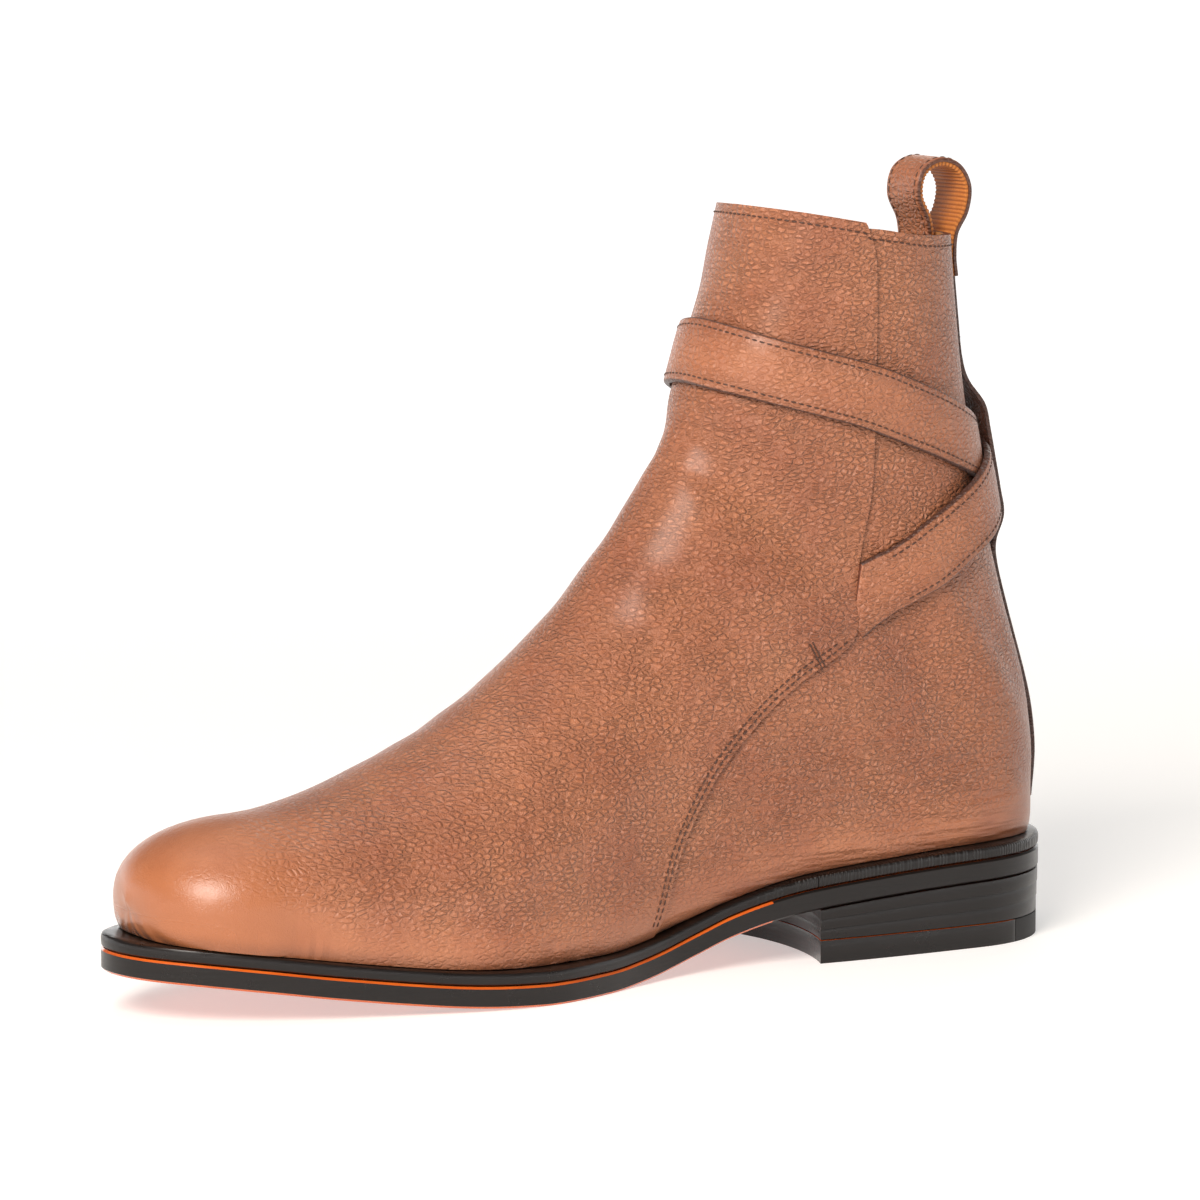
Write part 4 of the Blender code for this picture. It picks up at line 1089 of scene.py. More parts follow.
# Lining: smooth vegetable-tanned kip, orange-tan, dull, with a faint hair grain.
lining, tree, shader = finish("vegetable-tanned lining", Roughness=0.58, Specular_IOR_Level=0.35)
place_in = add(tree, "ShaderNodeTexCoord").outputs["Object"]
clouds = add(tree, "ShaderNodeTexNoise", {"Vector": place_in, "Scale": 45.0, "Detail": 5.0})
hair = add(tree, "ShaderNodeTexNoise", {"Vector": place_in, "Scale": 1300.0, "Detail": 2.0})
tint = add(tree, "ShaderNodeMix", {0: clouds, 6: linear("B5783F"), 7: linear("CF9860")}, data_type="RGBA")
tree.links.new(tint.outputs[2], shader.inputs["Base Color"])
relief = add(tree, "ShaderNodeBump", {"Height": hair, "Strength": 0.3, "Distance": 0.0002})
tree.links.new(relief.outputs[0], shader.inputs["Normal"])


# Where each mark grows from nothing to its full strength: metres along the boot from the heel's back,
# or metres above the feather line
TOE_POLISH = (0.236, 0.284)
TOE_POLISH_UP = (0.030, 0.004)
COUNTER_ALONG = (0.050, 0.006)
COUNTER_UP = (0.062, 0.030)
HEM_UP = (0.020, 0.004)
# Height above the feather line over which the painted shade at the foot of the upper fades out
FOOT_SHADE_UP = (0.0050, 0.0004)
PLEAT_UP = (0.014, 0.001)
PLEAT_ALONG = (0.060, 0.110)
PLEAT_PITCH = 0.0026
PLEAT_DRIFT = 0.011
QUARTER_RIPPLE_UP = (0.070, 0.030)
QUARTER_RIPPLE_BACK = (0.004, 0.030)
QUARTER_RIPPLE_FRONT = (0.150, 0.100)
BALL_RIPPLE_BACK = (0.150, 0.185)
BALL_RIPPLE_FRONT = (0.225, 0.195)


def grown(value, span):
    """Smooth share of a mark at a value, from 0 at the span's first end to 1 at its second."""
    t = min(1.0, max(0.0, (value - span[0]) / (span[1] - span[0])))
    return t * t * (3 - 2 * t)


def dress_leather(piece):
    """Stores, for each point, how grained, burnished, darkened with painted shade, pleated and rippled the
    leather is there.
    """
    marks = {"grain": [], "burnish": [], "stain_and_shade": [], "pleats": [], "ripple": []}
    for vertex in piece.data.vertices:
        along = HEEL_LENGTH / 2 - vertex.co.x
        above = vertex.co.z - feather(min(max(along, 0.0), BOOT_LENGTH))
        toe = grown(along, TOE_POLISH)
        counter = grown(along, COUNTER_ALONG) * grown(above, COUNTER_UP)
        hem = grown(above, HEM_UP)
        marks["grain"].append(max(0.0, 1.0 - 0.93 * toe - 0.62 * counter - 0.75 * hem))
        polish = 0.75 * toe * grown(above, TOE_POLISH_UP) + 0.25 * toe + 0.35 * hem * counter
        marks["burnish"].append(min(1.0, polish))
        # Painted shade: darker along the foot of the upper above the welt and over the heel counter.
        marks["stain_and_shade"].append(0.30 * grown(above, FOOT_SHADE_UP) + 0.22 * counter)
        run = along * 0.8 + abs(vertex.co.y) * 0.6
        wave = 0.5 + 0.5 * math.sin(2 * math.pi * run / PLEAT_PITCH + 3.0 * math.sin(run / PLEAT_DRIFT))
        marks["pleats"].append(0.55 * wave * grown(above, PLEAT_UP) * grown(along, PLEAT_ALONG))
        quarter = grown(above, QUARTER_RIPPLE_UP) * grown(along, QUARTER_RIPPLE_BACK)
        quarter *= grown(along, QUARTER_RIPPLE_FRONT)
        ball = grown(along, BALL_RIPPLE_BACK) * grown(along, BALL_RIPPLE_FRONT)
        marks["ripple"].append(max(5.0 * quarter, 2.5 * ball))
    for name, values in marks.items():
        store(piece, name, values)


def make_upper():
    outer = last_form("upper_finished", 0.0, grained_calf)
    above = both_sides("above", above_region(QUARTER_MEDIAL), above_region(QUARTER_LATERAL), raw_edge)
    outer = combine(outer, above, "DIFFERENCE")
    medial = vamp_region(VAMP_MEDIAL, VAMP_TOP_MEDIAL)
    lateral = vamp_region(VAMP_LATERAL, VAMP_TOP_LATERAL)
    region = both_sides("region", medial, lateral, raw_edge)
    vamp = combine(last_form("vamp", VAMP_STEP, grained_calf, flap=True), region, "INTERSECT")
    vamp = combine(vamp, last_form("under_flap", -FLAP_BITE, lining, flap=True), "DIFFERENCE")
    outer = combine(outer, vamp, "UNION")
    outer = combine(outer, below("ground", feather, lining), "DIFFERENCE")
    cavity = last_form("cavity", -UPPER_WALL, lining, *INSIDE_FINENESS)
    cavity = combine(cavity, below("bed", lambda a: feather(a) + UPPER_WALL, lining), "DIFFERENCE")
    outer = combine(outer, cavity, "DIFFERENCE")
    outer.name = "upper_finished"
    smooth_shaded(outer.data, 38.0)
    dress_leather(outer)
    belongs(outer, "grained_calf", "upper")
    return outer


upper = make_upper()


# Insole
# A thin tan leather sock lies on the leather board, from heel to toe, and the foot has pressed a shallow
# seat into it.
WELT_EXTENSION = 0.0045
INSOLE_THICKNESS = 0.003
SEAT_HOLLOW = 0.0007
# inset from the sole's outline, share of the thickness, share of SEAT_HOLLOW
INSOLE_PROFILE = (
    (0.016, 0.0, 0.0),
    (WELT_EXTENSION, 0.0, 0.0),
    (WELT_EXTENSION, 1.0, 0.0),
    (0.016, 1.0, 0.0),
    (0.024, 1.0, 1.0),
)


def make_insole():
    rise = UPPER_WALL + 2 * GAP
    rings = []
    for inset, up, hollow in INSOLE_PROFILE:
        rings.append([
            place(along, across, feather(along) + rise + INSOLE_THICKNESS * up - SEAT_HOLLOW * hollow)
            for along, across in outline(inset, 0.0, BOOT_LENGTH, 90)
        ])
    sock = stacked_rings("insole_finished", rings, [lining])
    inside = last_form("inside", -UPPER_WALL - 2 * GAP, lining, *INSIDE_FINENESS)
    sock = combine(sock, inside, "INTERSECT")
    smooth_shaded(sock.data, 35.0)
    belongs(sock, "insole_leather", "insole")


make_insole()


# Stitches of the upper
# Waxed dark brown linen, a little over two millimetres a stitch. Double rows hold the vamp over the quarters,
# with a third row on the lateral side and a bar tack where each seam dives under its strap. One row runs
# below the collar's edge.
STITCH_PITCH = 0.0023
STITCH_LENGTH = 0.00175
THREAD_THICKNESS = 0.00058
ROW_FROM_EDGE = 0.0015
ROW_APART = 0.0017
SEAM_CLEAR = 0.002
TACK_LENGTH = 0.0075
TACK_APART = 0.0011
TACK_THREAD = (0.0012, 0.0013, 0.0006)
COLLAR_ROW = 0.0031
THREAD_RISE = 0.00008
AXIS_ALONG = 0.262
# up: share of BOOT_HEIGHT at which the rows dive under the straps, or end on the flap
MEDIAL_ROWS_END = 0.428
MEDIAL_TUCK = 0.400
LATERAL_TUCK = 0.400
FLAP_ROW_END = 0.962

# Thread: twisted linen, waxed, so it is dull with a slight sheen.
thread, tree, shader = finish("waxed linen thread", Roughness=0.55, Specular_IOR_Level=0.4)
place_in = add(tree, "ShaderNodeTexCoord").outputs["Object"]
twist = add(tree, "ShaderNodeTexNoise", {"Vector": place_in, "Scale": 1800.0, "Detail": 2.0})
tint = add(tree, "ShaderNodeMix", {0: twist, 6: linear("33201A"), 7: linear("5C3A2A")}, data_type="RGBA")
tree.links.new(tint.outputs[2], shader.inputs["Base Color"])


def stitch_tree():
    """Lays one stitch of thread after another along the edges of a mesh."""
    tree = bpy.data.node_groups.new("row of stitches", "GeometryNodeTree")
    sides = tree.interface
    sides.new_socket("Geometry", in_out="INPUT", socket_type="NodeSocketGeometry")
    for name in ("Pitch", "Length", "Thickness"):
        sides.new_socket(name, in_out="INPUT", socket_type="NodeSocketFloat")
    sides.new_socket("Thread", in_out="INPUT", socket_type="NodeSocketMaterial")
    sides.new_socket("Geometry", in_out="OUTPUT", socket_type="NodeSocketGeometry")
    given = add(tree, "NodeGroupInput").outputs
    path = add(tree, "GeometryNodeMeshToCurve", {"Mesh": given["Geometry"]})
    even = add(
        tree, "GeometryNodeResampleCurve", {"Curve": path, "Length": given["Pitch"]}, mode="LENGTH"
    )
    tangent = add(tree, "GeometryNodeInputTangent")
    turned = add(tree, "FunctionNodeAlignRotationToVector", {"Vector": tangent}, axis="X")
    bead = add(tree, "GeometryNodeMeshIcoSphere", {"Radius": 0.5, "Subdivisions": 2})
    size = add(
        tree, "ShaderNodeCombineXYZ", {0: given["Length"], 1: given["Thickness"], 2: given["Thickness"]}
    )
    laid = add(
        tree, "GeometryNodeInstanceOnPoints",
        {"Points": even, "Instance": bead, "Rotation": turned, "Scale": size},
    )
    real = add(tree, "GeometryNodeRealizeInstances", {"Geometry": laid})
    smooth = add(tree, "GeometryNodeSetShadeSmooth", {"Geometry": real})
    sewn = add(tree, "GeometryNodeSetMaterial", {"Geometry": smooth, "Material": given["Thread"]})
    add(tree, "NodeGroupOutput", {"Geometry": sewn})
    return tree


rows_of_stitches = stitch_tree()


def sew(name, rows, slot, pitch=STITCH_PITCH, length=STITCH_LENGTH, thickness=THREAD_THICKNESS):
    """Stitches along several rows of points, as one plain mesh."""
    points = [tuple(p) for row in rows for p in row]
    edges = []
    base = 0
    for row in rows:
        edges += [(base + i, base + i + 1) for i in range(len(row) - 1)]
        base += len(row)
    mesh = bpy.data.meshes.new(name)
    mesh.from_pydata(points, edges, [])
    piece = bpy.data.objects.new(name, mesh)
    bpy.context.scene.collection.objects.link(piece)
    step = piece.modifiers.new("sewing", "NODES")
    step.node_group = rows_of_stitches
    values = {"Pitch": pitch, "Length": length, "Thickness": thickness, "Thread": thread}
    for socket in rows_of_stitches.interface.items_tree:
        if socket.name in values and socket.in_out == "INPUT":
            step[socket.identifier] = values[socket.name]
    piece.update_tag()
    belongs(settled(piece), slot)


def surface_of(piece):
    """The piece's skin, for rays to find."""
    mesh = bmesh.new()
    mesh.from_mesh(piece.data)
    tree = BVHTree.FromBMesh(mesh)
    mesh.free()
    return tree


upper_surface = surface_of(upper)


def beside(line, distance):
    """A line (along, up) in metres, moved forward of a pattern line by a distance."""
    flat = [(a * BOOT_LENGTH, u * BOOT_HEIGHT) for a, u in softened(line)]
    moved = []
    for k, (a, u) in enumerate(flat):
        a0, u0 = flat[max(k - 1, 0)]
        a1, u1 = flat[min(k + 1, len(flat) - 1)]
        size = math.hypot(a1 - a0, u1 - u0)
        moved.append((a + (u1 - u0) / size * distance, u - (a1 - a0) / size * distance))
    return moved


def on_side(along, up, side, rise=THREAD_RISE):
    """Point of the finished upper seen square from one side, just proud of the leather."""
    start = place(along, side * BALL_WIDTH, up)
    hit, normal, _, _ = upper_surface.ray_cast(start, Vector((0.0, -side, 0.0)))
    return hit + normal * rise if hit and hit.y * side > 0.0 else None


def seam_row(line, side, distance, low, high):
    """Row beside a pattern line between two heights."""
    places = [(a, u) for a, u in beside(line, distance) if low <= u <= high and u > feather(a) + SEAM_CLEAR]
    points = [on_side(a, u, side) for a, u in places]
    return [p for p in points if p]


def collar_row(side):
    """Row under the collar's edge, from the front to the back seam."""
    rear, top, quarter = (
        (VAMP_MEDIAL[-1][0], VAMP_TOP_MEDIAL, QUARTER_MEDIAL) if side < 0
        else (VAMP_LATERAL[-1][0], VAMP_TOP_LATERAL, QUARTER_LATERAL)
    )
    centre = AXIS_ALONG * BOOT_LENGTH
    points = []
    for turn in range(0, 172, 3):
        angle = math.radians(turn)
        out = Vector((-math.cos(angle), side * math.sin(angle), 0.0))
        up = BOOT_HEIGHT * 0.90
        for _ in range(4):
            hit, normal, _, _ = upper_surface.ray_cast(place(centre, 0.0, up) + out * BALL_WIDTH, -out)
            if not hit:
                break
            share = (HEEL_LENGTH / 2 - hit.x) / BOOT_LENGTH
            line = top if share > rear else quarter
            edge = spline([-a for a in column(line, 0)], column(line, 1), -share)
            up = edge * BOOT_HEIGHT - COLLAR_ROW
        if hit and normal.dot(out) > 0.0:
            points.append(hit + normal * THREAD_RISE)
    return points


def make_seams():
    tuck = BOOT_HEIGHT * LATERAL_TUCK
    rows = []
    for k in range(2):
        distance = ROW_FROM_EDGE + k * ROW_APART
        rows.append(seam_row(VAMP_MEDIAL, -1, distance, 0.0, BOOT_HEIGHT * MEDIAL_ROWS_END))
    for k in range(3):
        rows.append(seam_row(VAMP_LATERAL, 1, ROW_FROM_EDGE + k * ROW_APART, 0.0, tuck))
    rows.append(seam_row(VAMP_LATERAL, 1, ROW_FROM_EDGE, tuck, BOOT_HEIGHT * FLAP_ROW_END))
    rows.append(collar_row(-1))
    rows.append(collar_row(1))
    sew("seam_stitches", [row for row in rows if len(row) > 1], "grained_calf")
    bars = []
    for line, side, tuck in ((VAMP_MEDIAL, -1, MEDIAL_TUCK), (VAMP_LATERAL, 1, LATERAL_TUCK)):
        edge = beside(line, 0.0)
        inner = beside(line, TACK_LENGTH)
        k = min(range(len(edge)), key=lambda i: abs(edge[i][1] - BOOT_HEIGHT * tuck))
        size = math.dist(edge[k], edge[k + 1])
        step = [(edge[k + 1][i] - edge[k][i]) / size * TACK_APART for i in (0, 1)]
        for shift in (0, 1):
            row = []
            for share in (0.0, 0.33, 0.67, 1.0):
                at = [edge[k][i] + (inner[k][i] - edge[k][i]) * share + step[i] * shift for i in (0, 1)]
                row.append(on_side(at[0], at[1], side))
            bars.append([p for p in row if p])
    sew("bar_tacks", [row for row in bars if len(row) > 1], "grained_calf", *TACK_THREAD)


make_seams()


# Straps
# Two folded and stitched straps of the same calf cross in the loop at the back. The long one goes round the
# front from the medial side and through the buckle to its tail; the short one carries the buckle.
STRAP_WIDTH = 0.0185
STRAP_THICKNESS = 0.0022
STRAP_TIP = 0.011
TIP_BLUNTNESS = 0.22
TIP_POWER = 2.4
SKIN_GAP = 0.0005
STRAP_ROW = 0.0021
HOLE_RADIUS = 0.0011
HOLE_TURN = 452.0
# lowest and highest share of BOOT_HEIGHT at which a strap can meet the vamp, and how far the cut runs on
TUCK_BETWEEN = (0.36, 0.56)
TUCK_DEPTH = 0.2
# how grained and how burnished the leather is
STRAP_FACE = (0.62, 0.10)

# turn: degrees from the front by the lateral side; up: share of BOOT_HEIGHT; straps and vamp steps lain over;
# thickness: share of STRAP_THICKNESS
STRAP_LONG = (
    (62.0, 0.421, -0.20, 0.00, 0.20),
    (70.0, 0.430, -0.20, 0.00, 0.20),
    (75.0, 0.437, -0.20, 0.00, 0.36),
    (81.0, 0.445, -0.10, 0.00, 0.65),
    (92.0, 0.458, 0.00, 0.00, 1.00),
    (108.0, 0.478, 0.00, 0.00, 1.00),
    (122.0, 0.500, 0.00, 0.00, 1.00),
    (137.0, 0.540, 0.00, 0.00, 1.00),
    (151.0, 0.582, 0.00, 0.00, 1.00),
    (165.0, 0.617, 0.00, 0.00, 1.00),
    (180.0, 0.638, 0.00, 0.00, 1.00),
    (195.0, 0.657, 0.00, 0.00, 1.00),
    (210.0, 0.682, 0.06, 0.00, 1.00),
    (228.0, 0.712, 0.08, 0.00, 1.00),
    (248.0, 0.738, 0.08, 0.70, 1.00),
    (264.0, 0.754, 0.05, 1.05, 1.00),
    (284.0, 0.768, 0.05, 1.05, 1.00),
    (308.0, 0.783, 0.05, 1.05, 1.00),
    (335.0, 0.798, 0.05, 1.05, 1.00),
    (360.0, 0.805, 0.05, 1.05, 1.00),
    (384.0, 0.798, 0.05, 1.05, 1.00),
    (406.0, 0.782, 0.05, 1.05, 1.00),
    (424.0, 0.768, 0.08, 1.10, 1.00),
    (436.0, 0.762, 0.30, 1.10, 1.00),
    (448.0, 0.759, 1.00, 0.60, 1.00),
    (460.0, 0.757, 1.35, 0.00, 1.00),
    (472.0, 0.757, 1.28, 0.00, 1.00),
    (486.0, 0.758, 1.16, 0.00, 1.00),
    (498.0, 0.760, 1.24, 0.00, 1.00),
)
STRAP_SHORT = (
    (273.0, 0.466, -0.20, 0.00, 0.20),
    (268.0, 0.474, -0.20, 0.00, 0.36),
    (262.0, 0.484, -0.10, 0.00, 0.65),
    (255.0, 0.494, 0.00, 0.00, 0.92),
    (249.0, 0.503, 0.00, 0.00, 1.00),
    (244.0, 0.510, 0.00, 0.00, 1.00),
    (228.0, 0.542, 0.02, 0.00, 1.00),
    (212.0, 0.582, 0.90, 0.00, 1.00),
    (196.0, 0.617, 1.12, 0.00, 1.00),
    (180.0, 0.638, 1.12, 0.00, 1.00),
    (164.0, 0.660, 1.12, 0.00, 1.00),
    (148.0, 0.690, 0.90, 0.00, 1.00),
    (134.0, 0.718, 0.02, 0.00, 1.00),
    (121.0, 0.741, 0.00, 0.00, 1.00),
    (111.0, 0.755, 0.00, 0.00, 1.00),
)

block = last_form("block", 0.0, grained_calf)
block_surface = surface_of(block)
bpy.data.objects.remove(block, do_unlink=True)


def skin_at(turn, up):
    """Point of the lasted boot; turn 0 is the front, 90 the lateral side, 180 the back."""
    angle = math.radians(turn)
    out = Vector((-math.cos(angle), math.sin(angle), 0.0))
    centre = place(AXIS_ALONG * BOOT_LENGTH, 0.0, up)
    return block_surface.ray_cast(centre + out * BOOT_LENGTH, -out)[0]


def lifted(turn, up, lift):
    """Point raised off the lasted boot along its normal."""
    step = 2.0
    rise = 0.002
    sideways = skin_at(turn + step, up) - skin_at(turn - step, up)
    upwards = skin_at(turn, up + rise) - skin_at(turn, up - rise)
    normal = sideways.cross(upwards).normalized()
    angle = math.radians(turn)
    if normal.dot(Vector((-math.cos(angle), math.sin(angle), 0.0))) < 0:
        normal.negate()
    return skin_at(turn, up) + normal * lift


def lengths_of(table):
    """Rows of turn, height, lift and thickness in metres from a strap's table of shares."""
    return [
        (turn, up * BOOT_HEIGHT, SKIN_GAP + straps * (STRAP_THICKNESS + GAP) + steps * VAMP_STEP,
         thickness * STRAP_THICKNESS)
        for turn, up, straps, steps, thickness in table
    ]


class Band:
    """A flat band laid along a path of rows (turn, up, lift, thickness) on the lasted boot.

    tip is the length over which the last end narrows to a round point."""

    def __init__(self, path, width, steps, tip=0.0):
        rows = read_evenly(path, steps)
        centres = [skin_at(row[0], row[1]) for row in rows]
        lengths = [0.0]
        for k in range(steps):
            lengths.append(lengths[-1] + (centres[k + 1] - centres[k]).length)
        self.lengths = lengths
        self.rows = []
        for k, (turn, up, lift, thickness) in enumerate(rows):
            before = rows[max(k - 1, 0)]
            after = rows[min(k + 1, steps)]
            radius = (skin_at(turn + 1.0, up) - skin_at(turn - 1.0, up)).length / (2 * math.radians(1.0))
            forward_turn = math.radians(after[0] - before[0]) * radius
            forward_up = after[1] - before[1]
            size = math.hypot(forward_turn, forward_up)
            reach = width / 2
            left = lengths[-1] - lengths[k]
            if tip and left < tip:
                reach *= max(TIP_BLUNTNESS, math.sqrt(max(0.0, 1 - (1 - left / tip) ** TIP_POWER)))
            side = (math.degrees(-forward_up / size / radius), forward_turn / size)
            self.rows.append((turn, up, lift, thickness, side, reach))

    def at(self, k, across, share):
        """Point at row k, across from the middle in metres, at a share of the thickness."""
        turn, up, lift, thickness, side, _ = self.rows[k]
        return lifted(turn + side[0] * across, up + side[1] * across, lift + thickness * share)

    def mesh(self, name, profile, materials):
        """The band as a solid with a section of shares of its half width and thickness."""
        total = len(self.rows)
        points = [self.at(k, self.rows[k][5] * wide, thick) for k in range(total) for wide, thick in profile]
        return new_piece(name, points, solid_faces(total, len(profile)), materials, 50.0)

    def line(self, inset, share, start=0.0, stop=1.0, side=1):
        """Points along the band at an inset from one edge."""
        points = []
        for k, row in enumerate(self.rows):
            if not start <= self.lengths[k] / self.lengths[-1] <= stop:
                continue
            reach = row[5] - inset
            if reach > 0:
                points.append(self.at(k, side * reach, share))
        return points

    def across(self, part, reach, share):
        """Points across the band, part of the way along it, at a share of the thickness."""
        k = int(part * (len(self.rows) - 1))
        return [self.at(k, wide * reach, share) for wide in (-1.0, -0.5, 0.0, 0.5, 1.0)]


# share of the half width, share of the thickness
STRAP_PROFILE = (
    (-1.00, 0.12), (-1.00, 0.62), (-0.975, 0.86), (-0.93, 0.97), (-0.80, 0.99), (-0.72, 1.04),
    (-0.35, 1.10), (0.00, 1.11), (0.35, 1.10), (0.72, 1.04), (0.80, 0.99), (0.93, 0.97), (0.975, 0.86),
    (1.00, 0.62), (1.00, 0.12), (0.93, 0.0), (0.0, 0.0), (-0.93, 0.0),
)


def dress_band(piece, profile, grained, polished):
    """Edges dark from the wax, the face grained, the sewn margins a little darker, and the underside darkened
    with painted shade.
    """
    count = len(profile)
    total = len(piece.data.vertices)
    stain_and_shade = []
    for i in range(total):
        wide, thick = profile[i % count]
        edge = 1.0 if abs(wide) > 0.96 else 0.0
        margin = 0.15 if 0.7 < abs(wide) < 0.96 else 0.0
        # The underside, which lies against the boot, gets painted shade.
        stain_and_shade.append(max(edge, margin) if thick > 0.1 else 0.8)
    store(piece, "stain_and_shade", stain_and_shade)
    store(piece, "grain", [grained] * total)
    store(piece, "burnish", [polished] * total)


def punch(piece, where, outward, radius, depth):
    """Punches a round hole."""
    sides = 20
    turn = outward.to_track_quat("Z", "Y")
    angles = [2 * math.pi * i / sides for i in range(sides)]
    ring = [Vector((radius * math.cos(angle), radius * math.sin(angle), 0.0)) for angle in angles]
    points = [where + turn @ (p + Vector((0.0, 0.0, h))) for h in (-depth, depth) for p in ring]
    return combine(piece, new_piece("punch", points, solid_faces(2, sides), [raw_edge]), "DIFFERENCE")


def tucked(strap, line, side):
    """Cuts a strap off where it dives under the vamp's free edge."""
    edge = [p for p in softened(line) if TUCK_BETWEEN[0] < p[1] < TUCK_BETWEEN[1]]
    region = edge + [(edge[-1][0] + TUCK_DEPTH, edge[-1][1]), (edge[0][0] + TUCK_DEPTH, edge[0][1])]
    return combine(strap, side_prism("tuck", region, side, raw_edge), "DIFFERENCE")


def make_straps():
    long_band = Band(lengths_of(STRAP_LONG), STRAP_WIDTH, 300, STRAP_TIP)
    strap = long_band.mesh("strap_long_finished", STRAP_PROFILE, [grained_calf])
    dress_band(strap, STRAP_PROFILE, *STRAP_FACE)
    k = min(range(len(long_band.rows)), key=lambda i: abs(HOLE_TURN - long_band.rows[i][0]))
    low = long_band.at(k, 0.0, 0.0)
    high = long_band.at(k, 0.0, 1.0)
    strap = punch(strap, high, (high - low).normalized(), HOLE_RADIUS, STRAP_THICKNESS * 0.7)
    strap = tucked(strap, VAMP_LATERAL, 1)
    belongs(strap, "grained_calf", "strap_long")
    short_band = Band(lengths_of(STRAP_SHORT), STRAP_WIDTH, 110)
    short = short_band.mesh("strap_short_finished", STRAP_PROFILE, [grained_calf])
    dress_band(short, STRAP_PROFILE, *STRAP_FACE)
    short = tucked(short, VAMP_MEDIAL, -1)
    belongs(short, "grained_calf", "strap_short")
    rows = [long_band.line(STRAP_ROW, 1.0, 0.045, 0.985, side) for side in (-1, 1)]
    rows += [short_band.line(STRAP_ROW, 1.0, 0.13, 0.96, side) for side in (-1, 1)]
    rows.append(short_band.across(0.955, STRAP_WIDTH / 2 - STRAP_ROW, 1.04))
    sew("strap_stitches", rows, "grained_calf")


make_straps()


# Back strip
# A strip of calf covers the back seam. It is sewn down along both edges, and lifts between two rows to form
# the loop in which the straps cross.
BACK_STRIP_WIDTH = 0.019
BACK_STRIP_THICKNESS = 0.0016
BACK_ROW = 0.0019
# up: share of BOOT_HEIGHT; straps lain over
BACK_STRIP = (
    (0.180, 0.25),
    (0.250, 0.20),
    (0.350, 0.00),
    (0.440, 0.00),
    (0.500, 0.00),
    (0.530, 0.50),
    (0.562, 2.12),
    (0.600, 2.35),
    (0.640, 2.40),
    (0.680, 2.35),
    (0.716, 2.12),
    (0.752, 0.50),
    (0.785, 0.00),
    (0.840, 0.00),
    (0.893, 0.00),
)


def make_back_strip():
    path = [
        (180.0, up * BOOT_HEIGHT, SKIN_GAP + straps * (STRAP_THICKNESS + GAP), BACK_STRIP_THICKNESS)
        for up, straps in BACK_STRIP
    ]
    band = Band(path, BACK_STRIP_WIDTH, 130)
    strip = band.mesh("back_strip_finished", STRAP_PROFILE, [grained_calf])
    dress_band(strip, STRAP_PROFILE, 0.8, 0.15)
    belongs(strip, "grained_calf", "back_strip")
    insets = [BACK_ROW + k * ROW_APART for k in range(2)]
    rows = [band.line(inset, 1.0, 0.0, 0.985, side) for side in (-1, 1) for inset in insets]
    for part in (0.455, 0.895):
        rows.append(band.across(part, BACK_STRIP_WIDTH / 2 - BACK_ROW, 1.06))
    sew("back_strip_stitches", rows, "grained_calf")


make_back_strip()


# Pull loop
# A folded band is caught behind the collar: calf outside, ribbed orange-brown webbing inside. A row of
# stitches along each edge holds the two together.
PULL_LOOP_WIDTH = 0.017
PULL_LOOP_THICKNESS = 0.0026
PULL_LOOP_RISE = 0.022
PULL_LOOP_OUTER_LEG = 0.012
PULL_LOOP_INNER_LEG = 0.016
PULL_LOOP_INNER_GAP = 0.0017
WEBBING_SHARE = 0.52
WEBBING_PITCH = 0.00135
WEBBING_RELIEF = 0.00035
LOOP_STEPS = 320
LOOP_ROW = 0.0016
LOOP_THREAD = (0.0026, 0.0019, 0.0005)
# out and up from the back of the collar: share of PULL_LOOP_RISE
PULL_LOOP = (
    (0.06, 0.05),
    (0.22, 0.34),
    (0.26, 0.66),
    (0.10, 0.92),
    (-0.18, 1.00),
    (-0.44, 0.86),
    (-0.50, 0.55),
    (-0.36, 0.24),
)

# Webbing: ribbed cotton tape, dull and fibrous, with painted shade in the grooves between the ribs.
webbing, tree, shader = finish(
    "ribbed cotton webbing", Roughness=0.8, Specular_IOR_Level=0.25, Sheen_Weight=0.25
)
place_in = add(tree, "ShaderNodeTexCoord").outputs["Object"]
fuzz = add(tree, "ShaderNodeTexNoise", {"Vector": place_in, "Scale": 1700.0, "Detail": 3.0})
rib_groove_shade = add(tree, "ShaderNodeAttribute", attribute_name="rib_groove_shade").outputs["Fac"]
tint = add(tree, "ShaderNodeMix", {0: fuzz, 6: linear("A65E22"), 7: linear("CE8240")}, data_type="RGBA")
deep = add(tree, "ShaderNodeMix", {0: rib_groove_shade, 6: tint.outputs[2], 7: linear("6B3510")}, data_type="RGBA")
tree.links.new(deep.outputs[2], shader.inputs["Base Color"])
relief = add(tree, "ShaderNodeBump", {"Height": fuzz, "Strength": 0.5, "Distance": 0.0002})
tree.links.new(relief.outputs[0], shader.inputs["Normal"])


